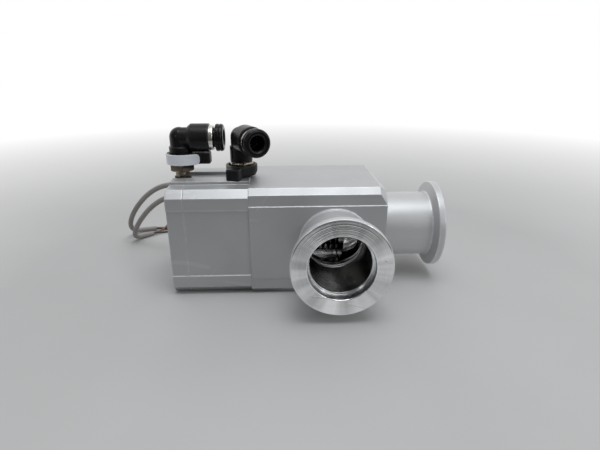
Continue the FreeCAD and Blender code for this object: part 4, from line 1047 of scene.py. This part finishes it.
def stud_sheets(base):
    """The stud: a turned core, and a hexagon whose corners are cut by a cone at both ends."""
    core = rounded([
        (stud_bore, thread_start, 0.1), (thread_radius, thread_start, 0.2), (thread_radius, thread_end, 0.1),
        (shoulder_radius, thread_end, 0.25), (shoulder_radius, hex_top, 0.1), (stalk_radius, hex_top, 0.1),
        (stalk_radius, collar_ring_start, 0.1), (collar_ring_radius, collar_ring_start, 0.1),
        (collar_ring_radius, collar_ring_end, 0.1), (stalk_radius, collar_ring_end, 0.1),
        (stalk_radius, stalk_end, 0.2), (stud_bore, stalk_end, 0.1),
    ], 3)
    flat = hexagon_radius(full_turn(96) - hex_turn + pi / 6, stud_flats)
    heights = [hex_bottom, hex_bottom, hex_bottom + hex_cut, hex_top - hex_cut, hex_top, hex_top]
    limits = [shoulder_radius - 0.1, stud_flats / 2 - 0.1, hexagon_reach]
    radii = np.minimum(flat, np.array(limits + limits[::-1])[:, None])
    grid = around(radii, heights, base, X, Y)
    edge = np.array([0, 1, 0.5, 0.5, 1, 0])[:, None]
    return [turned(core, base, Z), surface(grid, edge, smooth=False, rows_close=True)]


print("hexagon:", stud_flats, "mm over its flats and", round(2 * hexagon_reach, 2), "mm over its corners")

# %% [markdown]
# A thin rib under the barrel stiffens the bend and simply runs into the stem and the barrel. Then one function
# stands a whole fitting anywhere on the housing and turns it to its heading. The stud, the elbow and the collar are
# separate pieces; the elbow and the collar ride on bodies of their own, because the elbow swivels on the stud and
# the collar is pushed in, and the stud rides on the valve's.

# %% Stand the fittings on the housing
rib_corners, rib_half = [(2.0, 9.6), (6.6, 13.2), (11.0, 13.6), (11.0, 17.0), (2.0, 17.0)], 1.3
closing_x, opening_x, opening_angle = -117.6, -90.65, radians(-63.7)


def web_sheets(base, heading):
    """The rib under the barrel: a plate with a slanted lower edge."""
    return extended([rounded(rib_corners, 3, 0.4)], -rib_half, rib_half, base, (heading, Z), 0.3)


def stand(x, angle):
    """The point of the housing's top at a place along it, and the direction at an angle from +X."""
    return np.array([x, 0.0, bonnet_half]), np.array([cos(angle), sin(angle), 0.0])


def make_fitting(side, x, angle):
    """One whole fitting at a place along the housing, its barrel heading at an angle from +X."""
    base, heading = stand(x, angle)
    guide, barrel, collar = (turned(profile, base + barrel_height * Z, heading)
                             for profile in (guide_profile(), barrel_profile(), collar_profile()))
    elbow = [turned(stem_profile(), base, Z), barrel] + web_sheets(base, heading)
    piece(f"{side}_plated_stud", stud_sheets(base), "valve", ["plated_brass"], f"{side}_stud")
    piece(f"{side}_moulded_elbow", elbow, f"{side}_elbow", ["moulded_black"], f"{side}_elbow")
    piece(f"{side}_mouth_ring", [guide], f"{side}_elbow", ["plated_ring"], f"{side}_guide_ring")
    piece(f"{side}_push_collar", [collar], f"{side}_collar", ["collar_black"], f"{side}_release_collar")


make_fitting("closing", closing_x, 0.0)
make_fitting("opening", opening_x, opening_angle)

# %% [markdown]
# A loose black ring with a lug clips round each fitting, so that one can turn it by hand or hang a tag on it. Seen
# from above it has the shape of a drop: a circle, and two straight flanks that leave it as tangents and meet at
# the lug. On the left fitting it hangs a little to the lug's side, and the ring on the right has slid down onto the
# hexagon. A drop is easy to write as a distance from its middle for each direction, so the rings of points that a
# lathe would leave round are simply given that distance instead.

# %% Make the clip rings
clip_radius = hexagon_reach + 1.2
clip_taper, clip_lip, flank_length, skirt_radius = 1.6, 1.6, 2.0, 5.5
front_limit, row_margin = 1.2, 0.2
lug_start, lug_reach, lug_half, lug_sink = 6.6, 13.2, 3.0, 0.05
closing_bottom, closing_top, closing_offset = hex_top + 0.1, barrel_height - barrel_radius - 0.3, 0.9
opening_bottom, opening_top, opening_lug_angle = 1.6, 6.35, radians(-104.0)
drop_reach = clip_radius + flank_length
corner_angle = atan2(lug_half, drop_reach)
touch_angle = corner_angle + np.arccos(clip_radius / sqrt(drop_reach ** 2 + lug_half ** 2))


def drop_distance(t, radius):
    """Distance from the middle at angle t: r, or r / cos(|t| - a) on the flanks that touch the circle at a.

    Under the lug the drop ends in a straight front at distance d, which is d / cos t. Its angle is limited,
    because cos t runs to 0.
    """
    t = np.abs(t)
    flank = radius / np.cos(np.minimum(t - touch_angle, 0))
    return np.minimum(flank, np.where(t < touch_angle, drop_reach / np.cos(np.minimum(t, front_limit)), radius))


def clip_sheets(x, bottom, top, grip, angle, offset, lug_drop):
    """A clip ring whose inner rows are circles round the fitting and whose outer rows are drops, and its lug."""
    base, heading = stand(x, angle)
    across = np.cross(Z, heading)
    slant_radius = clip_radius - clip_taper / 2
    outer = [(clip_radius, top, 0.35), (clip_radius, bottom + clip_taper, 0.3), (slant_radius, bottom, 0.15)]
    if grip < skirt_radius:
        inner = [(skirt_radius, bottom, 0.1), (skirt_radius, top - clip_lip, 0.05), (grip, top - clip_lip, 0.05),
                 (grip, top, 0.15)]
    else:
        inner = [(grip, bottom, 0.1), (grip, top, 0.15)]
    points, edge = rounded(outer + inner)
    t = np.linspace(-pi, pi, 144, endpoint=False)
    direction = np.cos(t)[:, None] * heading + np.sin(t)[:, None] * across
    radius, height = points[:, :1], points[:, 1]
    outside = radius > slant_radius - row_margin
    distance = np.where(outside, drop_distance(t, radius), radius)
    shift = np.where(outside, offset, 0.0)
    grid = base + distance[..., None] * direction + shift[..., None] * heading + height[:, None, None] * Z
    lug = rounded([(lug_start, -lug_half, 0.2), (lug_reach, -lug_half, 0.9), (lug_reach, lug_half, 0.9),
                   (lug_start, lug_half, 0.2)], 6)
    return [surface(grid, edge[:, None], rows_close=True)] + extended(
        [lug], bottom - lug_drop, top - lug_sink, base, (heading, across), 0.35)


closing_clip = clip_sheets(closing_x, closing_bottom, closing_top, stem_radius + 0.1, 0.0, closing_offset, 0.5)
opening_clip = clip_sheets(opening_x, opening_bottom, opening_top, hexagon_reach + 0.1, opening_lug_angle, 0.0, 0.1)
piece("closing_clip", closing_clip, "closing_clip", ["matt_black"], "closing_clip_ring")
piece("opening_clip", opening_clip, "opening_clip", ["matt_black"], "opening_clip_ring")

# %% [markdown]
# A plain white band is bent round the left ring and stops on both sides of its lug. A curve with a bevel could
# follow the ring too, but its ends would stay full. Here a thin section is carried along the drop, and near both
# ends it shrinks to a rounded tip.

# %% Bend the white band round its ring
band_thickness, band_drop, band_gap, band_taper = 0.4, 0.4, 1.3, 1.6


def band_sheet(x, bottom, top, offset):
    """The white band: a thin section carried round the drop, from one side of the lug to the other.

    Its place is distance(t) in the direction t plus w along the drop's normal. Towards both ends the section
    shrinks by the root of 1 minus the squared way into the end.
    """
    section, edge = rounded([(0, bottom, 0.05), (0, top, 0.05), (band_thickness, top, 0.18),
                             (band_thickness, bottom, 0.18)])
    flank_run = clip_radius * np.tan(touch_angle - corner_angle)
    end_angle = touch_angle - atan2(flank_run - band_gap, clip_radius)
    t = end_angle + (2 * pi - 2 * end_angle) * (1 - np.cos(np.linspace(0, pi, 193))) / 2
    t = np.where(t > pi, t - 2 * pi, t)[:, None]
    normal = np.sign(t) * np.maximum(np.abs(t), touch_angle)
    run = clip_radius * (np.tan(touch_angle - end_angle) - np.tan(np.clip(touch_angle - np.abs(t), 0, None)))
    scale = np.sqrt(1 - np.clip(1 - run / band_taper, 0, 1) ** 2)
    middle = (bottom + top) / 2
    thick, height = section[:, 0] * np.minimum(scale * 2, 1), middle + (section[:, 1] - middle) * scale
    distance = drop_distance(t, clip_radius)
    grid = joined(x + offset + distance * np.cos(t) + thick * np.cos(normal),
                  distance * np.sin(t) + thick * np.sin(normal), bonnet_half + height)
    return surface(grid, edge)


band = band_sheet(closing_x, closing_bottom - band_drop, closing_top, closing_offset)
piece("white_band", [band], "closing_clip", ["smooth_white"], "marker_band")

# %% [markdown]
# The switches fill their grooves: the same keyhole outline, a little smaller, with a flat top that stands a
# touch proud. A small lamp window near the lead shows which one feels the piston.

# %% Fit the switches
switch_play, lip_round = 0.1, 0.25
switch_top, lamp_floor = bonnet_half + 0.3, bonnet_half - 0.4
lamp_from, lamp_length, lamp_half = 3.0, 3.0, 0.7

for name, z in (("open_switch", high_switch_z), ("closed_switch", low_switch_z)):
    low, high = box_mm(name)
    case = rounded(groove_points(z, switch_top, switch_play, lip_round), 3)
    piece(f"{name}_case", extended([case], low[0], high[0], edge_round=0.25), "valve", ["switch_plastic"], name)
    lamp_x = low[0] + lamp_from
    window = rounded([(lamp_x, z - lamp_half), (lamp_x + lamp_length, z - lamp_half),
                      (lamp_x + lamp_length, z + lamp_half), (lamp_x, z + lamp_half)], radius=0.3)
    piece(f"{name}_lamp", extended([window], -switch_top, -lamp_floor, across=(X, Z), edge_round=0.05), "valve",
          ["lamp_window"])

# %% [markdown]
# Last comes the place where the valve stands: a plain pale floor that turns white further away. One flat sheet is
# enough, because its material does the fading by distance. Metal shows its surroundings, so the floor also says
# what a mirror sees of it: white in front and beside the side port, where a room would be bright. A material
# counts in metres, so the places and ranges below do too.

# %% Lay the floor
floor_reach, floor_middle, patch_middle = 2500.0, (-0.06, 0.0, 0.0), (-0.01, -0.075, 0.0)
fade_range, patch_range, front_range = (0.14, 0.55), (0.04, 0.09), (-0.16, -0.12)
darker_grey, lighter_grey = (0.47, 0.47, 0.47, 1.0), (0.51, 0.51, 0.51, 1.0)


def seen_rays(tree):
    """Two values: 1 for rays that come from the camera, and 1 for rays that come from a mirror or glass, else 0."""
    rays = tree.nodes.new("ShaderNodeLightPath").outputs
    return rays["Is Camera Ray"], calculate("MAXIMUM", rays["Is Glossy Ray"], rays["Is Transmission Ray"])


def make_floor():
    """A flat sheet whose colour fades to plain white with the distance from the valve.

    Metal sees it white in two places: in front of the valve, and in a round patch beside the side port. What it
    sees there is dimmed to a grey.
    """
    mesh = bpy.data.meshes.new("floor")
    square = np.array([(-1, -1), (1, -1), (1, 1), (-1, 1)]) * floor_reach
    mesh.from_pydata(np.insert(square, 2, floor_z, axis=1) * MM, [], [(0, 1, 2, 3)])
    material = bpy.data.materials.new("pale_floor")
    material.use_nodes = True
    mesh.materials.append(material)
    tree = material.node_tree
    shader = tree.nodes["Principled BSDF"]
    place = tree.nodes.new("ShaderNodeTexCoord").outputs["Object"]
    tone = ranged(noise(place, 9.0, 4.0), *usual_noise)
    tree.links.new(between(tone, darker_grey, lighter_grey), shader.inputs["Base Color"])
    shader.inputs["Roughness"].default_value = 0.65
    camera_ray, shiny_ray = seen_rays(tree)
    far = ranged(vector_step("DISTANCE", place, floor_middle), *fade_range)
    patch = ranged(vector_step("DISTANCE", place, patch_middle), *patch_range, 1.0, 0.0)
    front = ranged(parts_of(place)["Y"], *front_range, 1.0, 0.0)
    mirrored = times(calculate("MAXIMUM", patch, front), shiny_ray)
    shown = times(calculate("MAXIMUM", far, mirrored), calculate("MAXIMUM", camera_ray, shiny_ray))
    dim = calculate("SUBTRACT", 1.0, weighted(front, 0.9, patch, 0.4, True))
    glow = node("ShaderNodeEmission", {"Strength": calculate("MAXIMUM", camera_ray, dim)})
    mix = node("ShaderNodeMixShader", {0: shown, 1: shader.outputs[0], 2: glow.outputs[0]})
    tree.links.new(mix.outputs[0], tree.nodes["Material Output"].inputs["Surface"])
    in_scene("floor", mesh)


make_floor()
print("floor at", round(float(floor_z), 2), "mm")

# %% [markdown]
# The light is soft and comes mostly from above, as from a large window in the ceiling, so the slanted edges shine
# and the front stays calm. What the world looks like matters as much as the lamps: metal sees it white above and
# behind, and dimmer on the side of the camera. As a source of light it is weaker, so that the shadows stay.

# %% Light the valve
white, daylight = (1.0, 1.0, 1.0, 1.0), (0.95, 0.98, 1.0)


def make_world():
    """White for the camera; for metal, white above and behind and dimmer on the camera's side; softer as a light."""
    world = bpy.data.worlds.new("soft_room")
    bpy.context.scene.world = world
    world.use_nodes = True
    tree = world.node_tree
    tree.nodes.clear()
    direction = parts_of(tree.nodes.new("ShaderNodeTexCoord").outputs["Generated"])
    side = calculate("ADD", direction["Y"], times(direction["X"], 0.8))
    camera_ray, shiny_ray = seen_rays(tree)
    seen = calculate("MAXIMUM", ranged(side, -1.0, -0.1, 0.15, 1.0), camera_ray)
    soft = ranged(direction["Y"], -0.8, 0.6, 0.06, 0.75)
    lights = [node("ShaderNodeBackground", {"Color": white, "Strength": strength}).outputs[0]
              for strength in (soft, seen)]
    which = calculate("MAXIMUM", camera_ray, shiny_ray)
    mix = node("ShaderNodeMixShader", {0: which, 1: lights[0], 2: lights[1]})
    node("ShaderNodeOutputWorld", {"Surface": mix.outputs[0]})


make_world()
lamp_target = Vector((-60, 0, 0)) * MM
for name, place, size, power in (("ceiling_window", (0, -130, 640), 420, 2.3),
                                 ("side_window", (330, -420, 260), 150, 0.28),
                                 ("front_window", (-360, -420, 220), 130, 0.13)):
    lamp = bpy.data.lights.new(name, "AREA")
    lamp.color = daylight
    lamp.size, lamp.energy = size * MM, power
    stand_place = Vector(place) * MM
    turn = (lamp_target - stand_place).to_track_quat("-Z", "Y").to_matrix().to_4x4()
    in_scene(name, lamp).matrix_world = Matrix.Translation(stand_place) @ turn
bpy.context.scene.view_settings.view_transform = "Standard"
print("lamps:", len(bpy.data.lights))
